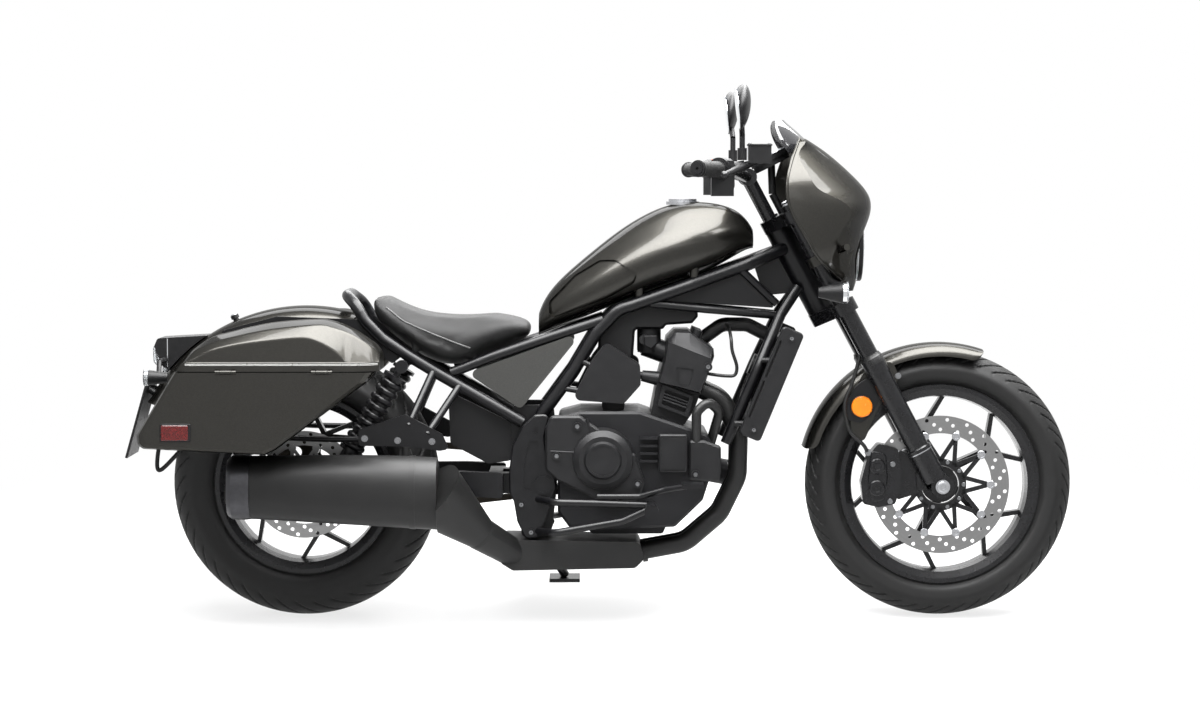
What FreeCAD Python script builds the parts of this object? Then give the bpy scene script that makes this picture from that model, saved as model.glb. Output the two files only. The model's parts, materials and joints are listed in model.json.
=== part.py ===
"""Touring cruiser motorcycle, leaning on its side stand.

The bike is modelled upright in its own frame: x forward from the rear axle, y to the rider's left from the
mid-plane, z up from the ground. The last step leans it onto the side stand. Lengths are in millimetres.
"""
import FreeCAD, Part
import math
import os

V = FreeCAD.Vector

# Chassis layout
WHEELBASE = 1520.0
RAKE = math.radians(28.0)
TRAIL = 110.0
LEAN = math.radians(9.0)

# Wheels and tyres
FRONT_TYRE_R = 319.6
FRONT_TYRE_HALF = 65.0
FRONT_CROWN_R = 68.0
FRONT_BEAD_R = 240.0
FRONT_RIM_HALF = 55.0
REAR_TYRE_R = 320.2
REAR_TYRE_HALF = 90.0
REAR_CROWN_R = 98.0
REAR_BEAD_R = 216.0
REAR_RIM_HALF = 73.0
CROWN_SPREAD = math.radians(50.0)
RIM_DEPTH = 28.0
TYRE_FIT = 0.3
SPOKE_COUNT = 5
AXLE_R = 12.5
AXLE_BORE_R = 8.0
RUN_FIT = 0.05
RUN_GAP = 0.5
SEAT_FIT = 0.3
FRONT_HUB_HALF = 60.0
REAR_HUB_HALF = 72.0

# Brakes
FRONT_DISC_R = 165.0
FRONT_DISC_BAND = 42.0
REAR_DISC_R = 128.0
REAR_DISC_BAND = 34.0
DISC_THICK = 5.0
FRONT_DISC_Y = 68.5
REAR_DISC_Y = 78.0
BOBBIN_COUNT = 10
BOBBIN_R = 9.0
CARRIER_THICK = 4.0
VENT_R = 4.5
VENT_ROWS = 3
PAD_GAP = 1.0
CALIPER_OUTLINE = (
    (-128, 96), (-104, 88), (-96, 40), (-98, -10), (-110, -44), (-150, -52), (-186, -44), (-192, 8), (-176, 70),
    (-150, 100),
)

# Front end, measured along the steering axis (up) and square to it (ahead)
FORK_Y = 107.0
FORK_AHEAD = 46.0
STANCHION_R = 21.5
SLIDER_R = 26.0
SLIDER_FOOT_R = 28.5
SLIDER_TOP = 348.0
LOWER_YOKE_UP = 485.0
UPPER_YOKE_UP = 735.0
YOKE_THICK = 30.0
HEAD_R = 33.0
STEM_R = 14.0
LUG_R = 27.0
LUG_IN = 24.0
LUG_OUT = 22.0
BAR_R = 12.7
GRIP_R = 17.0
BAR_END_R = 3.5
BAR_END_DEPTH = 30.0
FRONT_AXLE_HALF = FORK_Y + LUG_OUT + 5.0

# Frame tubes
RAIL_R = 16.0
LOOP_R = 14.0
DOWN_R = 13.0
SMALL_TUBE_R = 9.5
SIDE_TUBE_R = 12.5
RAIL_Y = 110.0
PIVOT_IN = 87.0
PIVOT_OUT = 100.0
PIVOT_BOLT_R = 12.0
LOOP_Y = 120.0
HANGER_IN = 204.0
HANGER_OUT = 212.0

# Engine and exhaust
ENGINE_Y = 150.0
DECK_REAR = (800.0, 500.0)
DECK_FRONT = (960.0, 446.0)
HEADER_Y = (-70.0, -16.0)
CLUTCH_R = 70.0
HEADER_R = 22.0
OUTLET_R = 26.0
MUFFLER_Y = 258.0
CHAMBER = [(470, 196), (800, 190), (812, 150), (790, 128), (500, 122), (470, 140)]
# Silencer sections from front to tail: place, middle height, half height, half width
MUFFLER_SECTIONS = (
    (326.0, 316.0, 84.0, 60.0),
    (290.0, 318.0, 84.0, 62.0),
    (90.0, 326.0, 80.0, 64.0),
    (-118.0, 331.0, 73.0, 64.0),
)
MUFFLER_TAIL = (
    (-122.0, 331.0, 74.5, 65.0),
    (-150.0, 331.0, 73.0, 64.0),
    (-160.0, 331.0, 66.0, 57.0),
)

# Engine castings
BOSS_R = 10.0
BOSS_SINK = 4.0
COVER_BEVEL = 5.0
CASE_BEVEL = 6.0
RIB_HALF = 3.0
HEAD_IN = 126.0
HEAD_OUT = 150.0
BARREL_Y = 108.0
INTAKE_Y = 46.0
INTAKE_R = 25.0
AIRBOX_Y = 84.0
HEAD_RIM = [(866.5, 669.3), (885.5, 688.3), (918.6, 688.3), (975.5, 648.3), (977.0, 629.3), (947.0, 540.0),
            (842.0, 566.0), (857.6, 624.0)]
HEAD_FACE = [(868.0, 664.0), (886.0, 658.5), (918.0, 645.5), (968.0, 626.0), (970.0, 619.0), (944.0, 546.0),
             (848.0, 570.0), (862.0, 624.0)]
CLUTCH_CENTRE = (713.0, 388.0)
CAP_STEP_R = 40.0
GENERATOR_CENTRE = (880.0, 350.0)
GENERATOR_R = 78.0

# Footrests
REST_IN = 137.0
REST_OUT = 149.0
REST_TUBE_R = 8.5
TUBE_Y = 206.0
PIVOT_CASTING = [(588, 494), (552, 492), (523, 466), (499, 419), (491, 361), (492, 308), (502, 287), (510, 240),
                 (529, 199), (556, 199), (577, 240), (592, 288), (603, 320), (598, 352), (580, 392), (574, 440)]
CASTING_RECESS = [(555, 464), (536, 424), (526, 371), (526, 316), (543, 314), (546, 330), (562, 348), (567, 361),
                  (560, 403), (558, 464)]

# Luggage
BAG_INNER_Y = 208.0
BAG_OUTER_Y = 400.0
BAG_WALL = 4.0
LID_GAP = 1.0
STAY_TUBE_R = 7.0
CASE_OUTLINE = (
    (-270, 608), (-358, 461), (-356, 440), (-344, 430), (-63, 416), (-38, 428), (172, 584), (190, 608), (194, 640),
    (190, 668), (141, 701), (68, 727), (19, 729), (-104, 714), (-181, 693), (-244, 636),
)
CASE_CENTRE = (-80.0, 572.0)
CASE_CORNER = 14.0
SEAM_UP = 608.0
BEVEL_IN = 8.0
BEVEL_OUT = 28.0
HINGE_X = (-150.0, 70.0)
HINGE_R = 4.5
HINGE_PIN_R = 2.0
HINGE_HALF = 14.0
HINGE_EAR = 10.0

# Swingarm
SWING_PIVOT = (572.0, 324.0)
ARM_IN = 128.0
ARM_OUT = 152.0

# Side stand
STAND_PIVOT = (560.0, 176.0, 168.0)
STAND_FOOT_X = 618.0
STAND_REACH = 300.0
STAND_TUBE_R = 11.0
STAND_TILT = math.radians(25.0)
STAND_EYE_R = 20.0
STAND_PIN_R = 8.0

# Rear drive
CHAIN_Y = 112.0
CHAIN_PITCH = 15.875
REAR_TEETH = 40
DRIVE_TEETH = 16
SPROCKET_R = CHAIN_PITCH / (2 * math.sin(math.pi / REAR_TEETH))
DRIVE_R = CHAIN_PITCH / (2 * math.sin(math.pi / DRIVE_TEETH))
TOOTH_TIP = 3.5
ROLLER_R = 5.0
DRIVE_X = 662.0
DRIVE_Z = 334.0
CHAIN_HALF = 7.5
LINK_IN = 4.5
LINK_OUT = 7.5

# Handlebar and mirrors, as places near the steering head
BAR_CENTRE = (1060.0, 1054.0)
BAR_INNER = (1054.0, 86.0, 1054.0)
RISER_Y = 45.0
RISER_R = 15.0
GRIP_IN = (980.0, 300.0, 1072.0)
GRIP_OUT = (927.0, 420.0, 1073.0)
PERCH_R = 13.0
MIRROR_RISE = 58.0
MIRROR_HEAD = (1030.0, 330.0, 1214.0)
MIRROR_HALF = (22.0, 84.0, 54.0)

# Fairing, screen, lamp and front signals
# Fairing levels: height, rear edge, crease, nose, half width at the rear edge and at the crease
FAIRING_LEVELS = (
    (782.0, 1294.0, 1299.0, 1315.0, 60.0, 54.0),
    (806.0, 1282.0, 1290.0, 1322.0, 104.0, 96.0),
    (832.0, 1252.0, 1268.0, 1327.0, 164.0, 152.0),
    (866.0, 1216.0, 1252.0, 1331.0, 212.0, 194.0),
    (905.0, 1192.0, 1263.0, 1337.0, 236.0, 210.0),
    (940.0, 1170.0, 1280.0, 1346.0, 244.0, 215.0),
    (972.0, 1153.0, 1294.0, 1354.0, 247.0, 217.0),
    (1005.0, 1143.0, 1258.0, 1352.0, 247.0, 225.0),
    (1047.0, 1143.0, 1200.0, 1322.0, 238.0, 228.0),
    (1090.0, 1154.0, 1176.0, 1276.0, 208.0, 202.0),
    (1120.0, 1166.0, 1178.0, 1238.0, 172.0, 168.0),
    (1145.0, 1178.0, 1185.0, 1198.0, 122.0, 120.0),
)
SCREEN_LEVELS = (
    (1112.0, 1150.0, 1160.0, 1240.0, 140.0, 138.0),
    (1134.0, 1136.0, 1144.0, 1210.0, 142.0, 140.0),
    (1156.0, 1126.0, 1132.0, 1186.0, 134.0, 132.0),
    (1176.0, 1122.0, 1126.0, 1163.0, 110.0, 108.0),
    (1190.0, 1126.0, 1128.0, 1148.0, 70.0, 69.0),
)
HEADLAMP_R = 88.0
STAY_R = 8.0
HEADLAMP_UP = 893.0
SIGNAL_BACK = (1220.0, 174.0, 783.0)
SIGNAL_FRONT = (1284.0, 174.0, 783.0)
SIGNAL_CLAMP_UP = 528.0

# Fenders
FENDER_R = 338.0
FENDER_FROM = 72.0
FENDER_TO = 165.0
FENDER_HALF = 73.0
REAR_FENDER_R = 425.0
REAR_FENDER_HALF = 104.0
REAR_FENDER_FROM = 72.0
REAR_FENDER_TO = 152.0
LAMP_HALF = 56.0

# Rear shocks
SHOCK_TOP = (239.0, 608.0)
SHOCK_FOOT = (95.0, 372.0)
SHOCK_Y = 172.0
COIL_IN = 19.0
COIL_R = 24.5
COIL_WIRE_R = 4.5
COIL_TURNS = 9

# Number plate holder
PLATE_TOP = (-369.0, 579.0)
PLATE_FOOT = (-423.5, 385.0)
PLATE_THICK = 6.0
PLATE_HALF = 92.0
PLATE_HOLE_R = 3.5
PLATE_HOLE_SPACING = 60.0
PLATE_HOLE_DROP = 110.0

# Seat and tank
SEAT_STATIONS = (
    (172.0, 104.0, 738.0, 779.0),
    (205.0, 122.0, 694.0, 758.0),
    (270.0, 134.0, 646.0, 728.0),
    (340.0, 137.0, 608.0, 716.0),
    (420.0, 127.0, 630.0, 716.0),
    (490.0, 108.0, 660.0, 720.0),
    (540.0, 84.0, 680.0, 706.0),
)
# Tank stations: place, half width, underside, top, narrowing of the top
TANK_STATIONS = (
    (560.0, 62.0, 684.0, 728.0, 0.7),
    (600.0, 96.0, 700.0, 796.0, 0.7),
    (660.0, 126.0, 724.0, 852.0, 0.62),
    (740.0, 144.0, 756.0, 916.0, 0.58),
    (820.0, 151.0, 788.0, 966.0, 0.56),
    (900.0, 150.0, 816.0, 992.0, 0.56),
    (970.0, 132.0, 842.0, 992.0, 0.56),
    (1030.0, 96.0, 866.0, 975.0, 0.6),
    (1072.0, 62.0, 884.0, 930.0, 0.7),
)
KNEE_OUTLINE = [(585, 758), (646, 821), (705, 857), (741, 859), (795, 826), (787, 803), (723, 767), (585, 715)]
KNEE_DEPTH = 9.0
TANK_DROP = 8.0
CAP_R = 34.0
CAP_X = 905.0
CAP_SINK = 5.0

# Cooling
RADIATOR_TOP = (1161.0, 686.0)
RADIATOR_FOOT = (1062.0, 446.0)
FAN_R = 92.0
FAN_DEPTH = 34.0
HOSE_R = 17.0
LOWER_HOSE_R = 11.5

# Sheet and shell thicknesses
FENDER_WALL = 3.5
FAIRING_WALL = 4.0
SCREEN_WALL = 3.0


# Places worked out from the layout

def crown_drop(crown):
    """How far a rounded tyre sinks below the upright ground when the bike leans about the ground line."""
    return crown * (1 - math.cos(LEAN))


REAR_AXLE = V(0, 0, REAR_TYRE_R + (REAR_CROWN_R - FRONT_CROWN_R) * (1 / math.cos(LEAN) - 1))
FRONT_AXLE = V(WHEELBASE, 0, FRONT_TYRE_R)
AXIS_UP = V(-math.sin(RAKE), 0, math.cos(RAKE))
AXIS_AHEAD = V(math.cos(RAKE), 0, math.sin(RAKE))
OFFSET = FRONT_TYRE_R * math.sin(RAKE) - TRAIL * math.cos(RAKE)
AXIS_FOOT = FRONT_AXLE - AXIS_AHEAD * OFFSET


def fork_point(up, ahead=0.0, y=0.0):
    """A point by its height along the steering axis, its distance ahead of that axis and its side."""
    return AXIS_FOOT + AXIS_UP * up + AXIS_AHEAD * ahead + V(0, y, 0)


def headed(x, y, z):
    """A frame point near the steering head, given for the drawn wheelbase, moved along with the head."""
    drawn = V(1520.0, 0, 319.6)
    return V(x, y, z) + V(FRONT_AXLE.x - drawn.x, 0, FRONT_AXLE.z - drawn.z)


# Shape helpers

def block(x_span, y_span, z_span):
    low = V(x_span[0], y_span[0], z_span[0])
    high = V(x_span[1], y_span[1], z_span[1])
    size = high - low
    return Part.makeBox(size.x, size.y, size.z, low)


def rod(start, end, radius):
    span = end - start
    return Part.makeCylinder(radius, span.Length, start, span)


def taper(start, end, start_r, end_r):
    span = end - start
    return Part.makeCone(start_r, end_r, span.Length, start, span)


def cross_rod(x, z, radius, y_from, y_to):
    return rod(V(x, y_from, z), V(x, y_to, z), radius)


def bend_edges(points, radius, closed=False):
    """Straight runs joined by tangent arcs, each arc limited to 0.45 of its shorter run."""
    count = len(points)
    corners = range(count) if closed else range(1, count - 1)
    cuts = {}
    for i in corners:
        here = points[i]
        back = points[i - 1] - here
        ahead = points[(i + 1) % count] - here
        half = back.getAngle(ahead) / 2
        reach = min(radius / math.tan(half), 0.45 * min(back.Length, ahead.Length))
        if reach < 0.05 or half > math.pi / 2 - 0.002:
            continue
        back.normalize()
        ahead.normalize()
        middle = back + ahead
        middle.normalize()
        bow = reach * math.tan(half)
        centre_far = reach / math.cos(half)
        cuts[i] = (here + back * reach, here + middle * (centre_far - bow), here + ahead * reach)
    edges = []
    for i in range(count if closed else count - 1):
        following = (i + 1) % count
        start = cuts[i][2] if i in cuts else points[i]
        end = cuts[following][0] if following in cuts else points[following]
        edges.append(Part.makeLine(start, end))
        if following in cuts:
            edges.append(Part.Arc(*cuts[following]).toShape())
    return edges


def tube(points, radius, bend=60.0):
    """A round bar along straight runs joined by tangent arcs."""
    path = Part.Wire(bend_edges(points, bend))
    start = points[0]
    ring = Part.Wire(Part.makeCircle(radius, start, points[1] - start))
    return path.makePipeShell([ring], True, False)


def outline_face(points, corner, closed_bend=True):
    wire = Part.Wire(bend_edges(points, corner, closed_bend))
    return Part.Face(wire)


def side_plate(outline, y_from, y_to, corner=4.0):
    """A flat piece drawn in side view and given its thickness across the bike."""
    points = [V(x, y_from, z) for x, z in outline]
    face = outline_face(points, corner)
    return face.extrude(V(0, y_to - y_from, 0))


def crowned(outline, y_from, y_to, bevel, corner=8.0):
    """A side-view plate whose outer face, at y_to, has a chamfered rim."""
    plate = side_plate(outline, y_from, y_to, corner)
    rim = []
    for edge in plate.Edges:
        box = edge.BoundBox
        if abs(box.YMin - y_to) < 0.01 and abs(box.YMax - y_to) < 0.01:
            rim.append(edge)
    return plate.makeChamfer(bevel, rim)


def two_faced(outline, half_width, corner):
    """A casting as wide to either side of the mid-plane, both its faces with a chamfered rim."""
    return join(crowned(outline, 1.0, -half_width, CASE_BEVEL, corner),
                crowned(outline, -1.0, half_width, CASE_BEVEL, corner))


def facing_rings(inner, outer, y_inner, y_outer):
    """A block between two side-view outlines with as many corners, one at each depth across the bike."""
    rings = []
    for outline, y in ((inner, y_inner), (outer, y_outer)):
        points = [V(x, y, z) for x, z in outline]
        rings.append(Part.makePolygon(points + [points[0]]))
    return Part.makeLoft(rings, True, True)


def screw_boss(x, z, radius, y_from, y_to):
    """A round boss with the counterbore for its screw in the outer end."""
    boss = cross_rod(x, z, radius, y_from, y_to)
    inward = math.copysign(BOSS_SINK, y_from - y_to)
    return boss.cut(cross_rod(x, z, radius * 0.6, y_to + inward, y_to - inward))


def point_plate(points, y_from, y_to, corner=4.0):
    return side_plate([(p.x, p.z) for p in points], y_from, y_to, corner)


def flat_plate(points, thickness, corner=4.0):
    """A plate from points of its lower face, thickened along that face's normal."""
    face = outline_face(points, corner)
    return face.extrude(face.normalAt(0, 0) * thickness)


def mirrored(shape):
    return shape.mirror(V(0, 0, 0), V(0, 1, 0))


def pair(shape):
    return Part.makeCompound([shape, mirrored(shape)])


def join(*shapes):
    solids = list(shapes)
    return solids[0].multiFuse(solids[1:])


def oval(centre, half_y, half_z, squareness, top_share=1.0, count=14):
    """A closed smooth ring across the bike: a superellipse, its upper half narrowed by top_share."""
    points = []
    for step in range(count):
        angle = 2 * math.pi * step / count
        cosine = math.cos(angle)
        sine = math.sin(angle)
        y = math.copysign(abs(cosine) ** (2 / squareness), cosine) * half_y
        z = math.copysign(abs(sine) ** (2 / squareness), sine) * half_z
        share = 1 - (1 - top_share) * max(0.0, z / half_z)
        points.append(V(centre.x, centre.y + y * share, centre.z + z))
    curve = Part.BSplineCurve()
    curve.interpolate(Points=points, PeriodicFlag=True)
    return Part.Wire(curve.toShape())


def curve_edge(points):
    curve = Part.BSplineCurve()
    curve.interpolate(points)
    return curve.toShape()


# Wheels

def tyre(outer_r, half, crown, bead_r, rim_half):
    """The tyre's section, a crown arc and two sidewall arcs, turned about the axle."""
    edge_y = crown * math.sin(CROWN_SPREAD)
    edge_r = outer_r - crown + crown * math.cos(CROWN_SPREAD)
    seat_r = bead_r - RIM_DEPTH * 0.65
    bead_y = rim_half - 5.0
    belly_r = bead_r + (edge_r - bead_r) * 0.5
    def at(y, r):
        return V(0, y, r)
    crown_arc = Part.Arc(at(-edge_y, edge_r), at(0, outer_r), at(edge_y, edge_r)).toShape()
    left = Part.Arc(at(edge_y, edge_r), at(half, belly_r), at(bead_y, bead_r)).toShape()
    left_in = Part.makeLine(at(bead_y, bead_r), at(bead_y - 4, seat_r))
    inner = Part.makeLine(at(bead_y - 4, seat_r), at(-bead_y + 4, seat_r))
    right_in = Part.makeLine(at(-bead_y + 4, seat_r), at(-bead_y, bead_r))
    right = Part.Arc(at(-bead_y, bead_r), at(-half, belly_r), at(-edge_y, edge_r)).toShape()
    wire = Part.Wire([crown_arc, left, left_in, inner, right_in, right])
    return Part.Face(wire).revolve(V(0, 0, 0), V(0, 1, 0), 360)


def rim_ring(bead_r, rim_half):
    """Rim section: two flanges, the seat drum and the open inner face, turned about the axle."""
    seat_r = bead_r - RIM_DEPTH * 0.65 - TYRE_FIT
    flange_y = rim_half - 5.0 + TYRE_FIT * 2
    half_section = [
        (flange_y - 4.2, seat_r),
        (flange_y, bead_r - 1.0),
        (rim_half, bead_r - 1.5),
        (rim_half, bead_r - 12.0),
        (rim_half - 6.0, bead_r - RIM_DEPTH),
        (rim_half * 0.4, bead_r - RIM_DEPTH - 4.0),
    ]
    section = half_section + [(-y, r) for y, r in reversed(half_section)]
    points = [V(0, y, r) for y, r in section]
    face = Part.Face(Part.makePolygon(points + [points[0]]))
    return face.revolve(V(0, 0, 0), V(0, 1, 0), 360)


def polar(radius, degrees, y=0.0):
    angle = math.radians(degrees)
    return V(radius * math.cos(angle), y, radius * math.sin(angle))


def bar_between(start, end, start_w, end_w, half_y_start, half_y_end):
    """A spoke arm: a tapered bar from start to end, its width in the wheel's plane."""
    along = end - start
    along.normalize()
    side = V(-along.z, 0, along.x)
    wires = []
    for point, width, half_y in ((start, start_w, half_y_start), (end, end_w, half_y_end)):
        corners = [
            point + side * width + V(0, half_y, 0),
            point - side * width + V(0, half_y, 0),
            point - side * width - V(0, half_y, 0),
            point + side * width - V(0, half_y, 0),
        ]
        wires.append(Part.makePolygon(corners + [corners[0]]))
    return Part.makeLoft(wires, True, True)


def spoked_rim(bead_r, rim_half, hub_half, first_angle, stem_w, hub_r):
    """Cast wheel: five spokes, each forked into two arms that meet the rim about 38 degrees apart."""
    reach = bead_r - RIM_DEPTH + 2.0
    fork_r = reach * 0.64
    parts = [rim_ring(bead_r, rim_half)]
    step = 360.0 / SPOKE_COUNT
    for number in range(SPOKE_COUNT):
        end_angle = first_angle + step * number
        root = polar(hub_r * 0.9, end_angle + 40.0)
        fork = polar(fork_r, end_angle + 19.0)
        tip = polar(reach, end_angle)
        branch_tip = polar(reach, end_angle + 38.4)
        parts.append(bar_between(root, fork, stem_w, stem_w * 0.8, 24.0, 18.0))
        parts.append(bar_between(fork, tip, stem_w * 0.62, stem_w * 0.5, 18.0, 15.0))
        parts.append(bar_between(fork, branch_tip, stem_w * 0.62, stem_w * 0.5, 18.0, 15.0))
    hub = rod(V(0, -hub_half, 0), V(0, hub_half, 0), hub_r)
    wheel = join(hub, *parts)
    bore = rod(V(0, -hub_half - 1, 0), V(0, hub_half + 1, 0), AXLE_R + RUN_FIT)
    return wheel.cut(bore)


def brake_disc(outer_r, band, y_centre, hub_r, vent_sets):
    """Floating disc: a vented ring, a star carrier and the bobbins that join them at the ring's inner edge."""
    inner_r = outer_r - band
    low = y_centre - DISC_THICK / 2
    high = y_centre + DISC_THICK / 2
    ring = ring_between(low, high, outer_r, inner_r)
    vents = []
    for number in range(vent_sets):
        for row in range(VENT_ROWS):
            radius = inner_r + band * (row + 0.75) / (VENT_ROWS + 0.5)
            angle = 360.0 / vent_sets * (number + row / VENT_ROWS)
            spot = polar(radius, angle, y_centre)
            vents.append(rod(spot - V(0, DISC_THICK, 0), spot + V(0, DISC_THICK, 0), VENT_R))
    ring = ring.cut(Part.makeCompound(vents))
    parts = [ring, ring_between(y_centre - CARRIER_THICK / 2, y_centre + CARRIER_THICK / 2, hub_r, hub_r - 17.0)]
    for number in range(BOBBIN_COUNT):
        angle = 360.0 / BOBBIN_COUNT * number
        tip = polar(inner_r - 2.0, angle, y_centre)
        for spread in (-0.5, 0.5):
            root = polar(hub_r - 6.0, angle + spread * 360.0 / BOBBIN_COUNT, y_centre)
            parts.append(bar_between(root, tip, 4.5, 4.0, CARRIER_THICK / 2, CARRIER_THICK / 2))
        parts.append(rod(tip - V(0, 3.4, 0), tip + V(0, 3.4, 0), BOBBIN_R))
    return join(*parts)


def build_front_wheel():
    place = FRONT_AXLE
    disc = brake_disc(FRONT_DISC_R, FRONT_DISC_BAND, -FRONT_DISC_Y, 62.0, 20)
    seat = ring_between(-FRONT_DISC_Y + CARRIER_THICK / 2, -FRONT_HUB_HALF, 62.0, 45.0)
    disc = join(disc, seat)
    return {
        "front_tyre": moved(tyre(FRONT_TYRE_R, FRONT_TYRE_HALF, FRONT_CROWN_R, FRONT_BEAD_R, FRONT_RIM_HALF),
                            place),
        "front_rim": moved(spoked_rim(FRONT_BEAD_R, FRONT_RIM_HALF, FRONT_HUB_HALF, 14.3, 10.0, 44.0), place),
        "front_disc": moved(disc, place),
    }


def ring_between(y_from, y_to, outer_r, inner_r):
    outer = rod(V(0, y_from, 0), V(0, y_to, 0), outer_r)
    return outer.cut(rod(V(0, y_from - 5, 0), V(0, y_to + 5, 0), inner_r))


def moved(shape, place):
    copy = shape.copy()
    copy.translate(place)
    return copy


def toothed(pitch_r, teeth, half_thick):
    """A sprocket plate: one round-bottomed gap and one flat-topped tooth for each pitch of the chain."""
    tip_r = pitch_r + TOOTH_TIP
    edges = []
    pitch_angle = 360.0 / teeth
    for number in range(teeth):
        here = pitch_angle * number
        start = polar(tip_r, here - 0.36 * pitch_angle)
        dip = polar(pitch_r - ROLLER_R - SEAT_FIT, here)
        end = polar(tip_r, here + 0.36 * pitch_angle)
        edges.append(Part.Arc(start, dip, end).toShape())
        edges.append(Part.makeLine(end, polar(tip_r, here + 0.64 * pitch_angle)))
    plate = Part.Face(Part.Wire(edges)).extrude(V(0, 2 * half_thick, 0))
    plate.translate(V(0, -half_thick, 0))
    return plate


def sprocket():
    """Rear sprocket on its hub ring, lightened by one round window between each pair of its bolts."""
    body = moved(toothed(SPROCKET_R, REAR_TEETH, 3.5), V(0, CHAIN_Y, 0))
    hub = ring_between(REAR_HUB_HALF, CHAIN_Y - 3.0, 52.0, 34.0)
    windows = [rod(polar(72.0, turn, CHAIN_Y - 10), polar(72.0, turn, CHAIN_Y + 10), 13.0)
               for turn in range(0, 360, 60)]
    body = body.cut(rod(V(0, CHAIN_Y - 10, 0), V(0, CHAIN_Y + 10, 0), 34.0)).cut(Part.makeCompound(windows))
    return join(body, hub)


def build_rear_wheel():
    place = REAR_AXLE
    disc = brake_disc(REAR_DISC_R, REAR_DISC_BAND, -REAR_DISC_Y, 56.0, 16)
    seat = ring_between(-REAR_DISC_Y + CARRIER_THICK / 2, -REAR_HUB_HALF, 56.0, 39.0)
    disc = join(disc, seat)
    return {
        "rear_tyre": moved(tyre(REAR_TYRE_R, REAR_TYRE_HALF, REAR_CROWN_R, REAR_BEAD_R, REAR_RIM_HALF), place),
        "rear_rim": moved(spoked_rim(REAR_BEAD_R, REAR_RIM_HALF, REAR_HUB_HALF, 50.0, 9.0, 46.0), place),
        "rear_disc": moved(disc, place),
        "rear_sprocket": moved(sprocket(), place),
    }


# Steering body

def yoke(up):
    """A clamp plate: two round clamps round the fork legs joined by a waisted bridge with the stem boss."""
    half = YOKE_THICK / 2
    low = up - half
    outline = [
        fork_point(low, FORK_AHEAD + 24, -FORK_Y + 18),
        fork_point(low, FORK_AHEAD - 4, -30),
        fork_point(low, FORK_AHEAD - 4, 30),
        fork_point(low, FORK_AHEAD + 24, FORK_Y - 18),
        fork_point(low, FORK_AHEAD - 24, FORK_Y - 8),
        fork_point(low, -34, 26),
        fork_point(low, -34, -26),
        fork_point(low, FORK_AHEAD - 24, -FORK_Y + 8),
    ]
    face = outline_face(outline, 10.0)
    plate = face.extrude(AXIS_UP * YOKE_THICK)
    clamps = [rod(fork_point(low, FORK_AHEAD, y), fork_point(low + YOKE_THICK, FORK_AHEAD, y), STANCHION_R + 9.0)
              for y in (-FORK_Y, FORK_Y)]
    body = join(plate, *clamps)
    for y in (-FORK_Y, FORK_Y):
        body = body.cut(rod(fork_point(low - 1, FORK_AHEAD, y), fork_point(low + YOKE_THICK + 1, FORK_AHEAD, y),
                            STANCHION_R + RUN_FIT))
    return body


def build_yokes():
    lower = yoke(LOWER_YOKE_UP)
    upper = yoke(UPPER_YOKE_UP)
    stem = rod(fork_point(LOWER_YOKE_UP), fork_point(UPPER_YOKE_UP + 20), STEM_R)
    return join(lower, upper, stem)


def build_fork_legs():
    legs = []
    for side in (-1, 1):
        y = side * FORK_Y
        foot = fork_point(0, OFFSET, y)
        lower = fork_point(20, FORK_AHEAD, y)
        waist = fork_point(96, FORK_AHEAD, y)
        slider_top = fork_point(SLIDER_TOP, FORK_AHEAD, y)
        collar = fork_point(SLIDER_TOP - 42, FORK_AHEAD, y)
        top = fork_point(UPPER_YOKE_UP + YOKE_THICK / 2 + 14, FORK_AHEAD, y)
        casting = rod(lower, waist, SLIDER_FOOT_R)
        slider = rod(waist, slider_top, SLIDER_R)
        cap = rod(collar, slider_top, SLIDER_R + 2.0)
        stanchion = rod(slider_top, top, STANCHION_R)
        lug = rod(foot - V(0, side * LUG_IN, 0), foot + V(0, side * LUG_OUT, 0), LUG_R)
        leg = join(casting, slider, cap, stanchion, lug)
        leg = leg.cut(rod(foot - V(0, side * 34, 0), foot + V(0, side * 34, 0), AXLE_R + RUN_FIT))
        legs.append(leg)
    return Part.makeCompound(legs)


def build_front_axle():
    centre = FRONT_AXLE
    shaft = rod(centre - V(0, FRONT_AXLE_HALF, 0), centre + V(0, FRONT_AXLE_HALF, 0), AXLE_R)
    spacer_start = FRONT_HUB_HALF + RUN_GAP
    spacer_end = FORK_Y - LUG_IN - SEAT_FIT
    spacers = []
    for side in (-1, 1):
        start = centre + V(0, side * spacer_start, 0)
        end = centre + V(0, side * spacer_end, 0)
        spacers.append(rod(start, end, 18.0))
    head = rod(centre - V(0, FRONT_AXLE_HALF - 4.7, 0), centre - V(0, FRONT_AXLE_HALF, 0), 17.0)
    nut = rod(centre + V(0, FRONT_AXLE_HALF - 4.7, 0), centre + V(0, FRONT_AXLE_HALF, 0), 17.0)
    axle = join(shaft, head, nut, *spacers)
    return axle.cut(rod(centre - V(0, 200, 0), centre + V(0, 200, 0), AXLE_BORE_R))


def bar_point(spot, side=1):
    return headed(spot[0], side * spot[1], spot[2])


def grip_line(side):
    """The inner end of a grip and the direction of the bar through it."""
    inner = bar_point(GRIP_IN, side)
    along = bar_point(GRIP_OUT, side) - inner
    along.normalize()
    return inner, along


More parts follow.
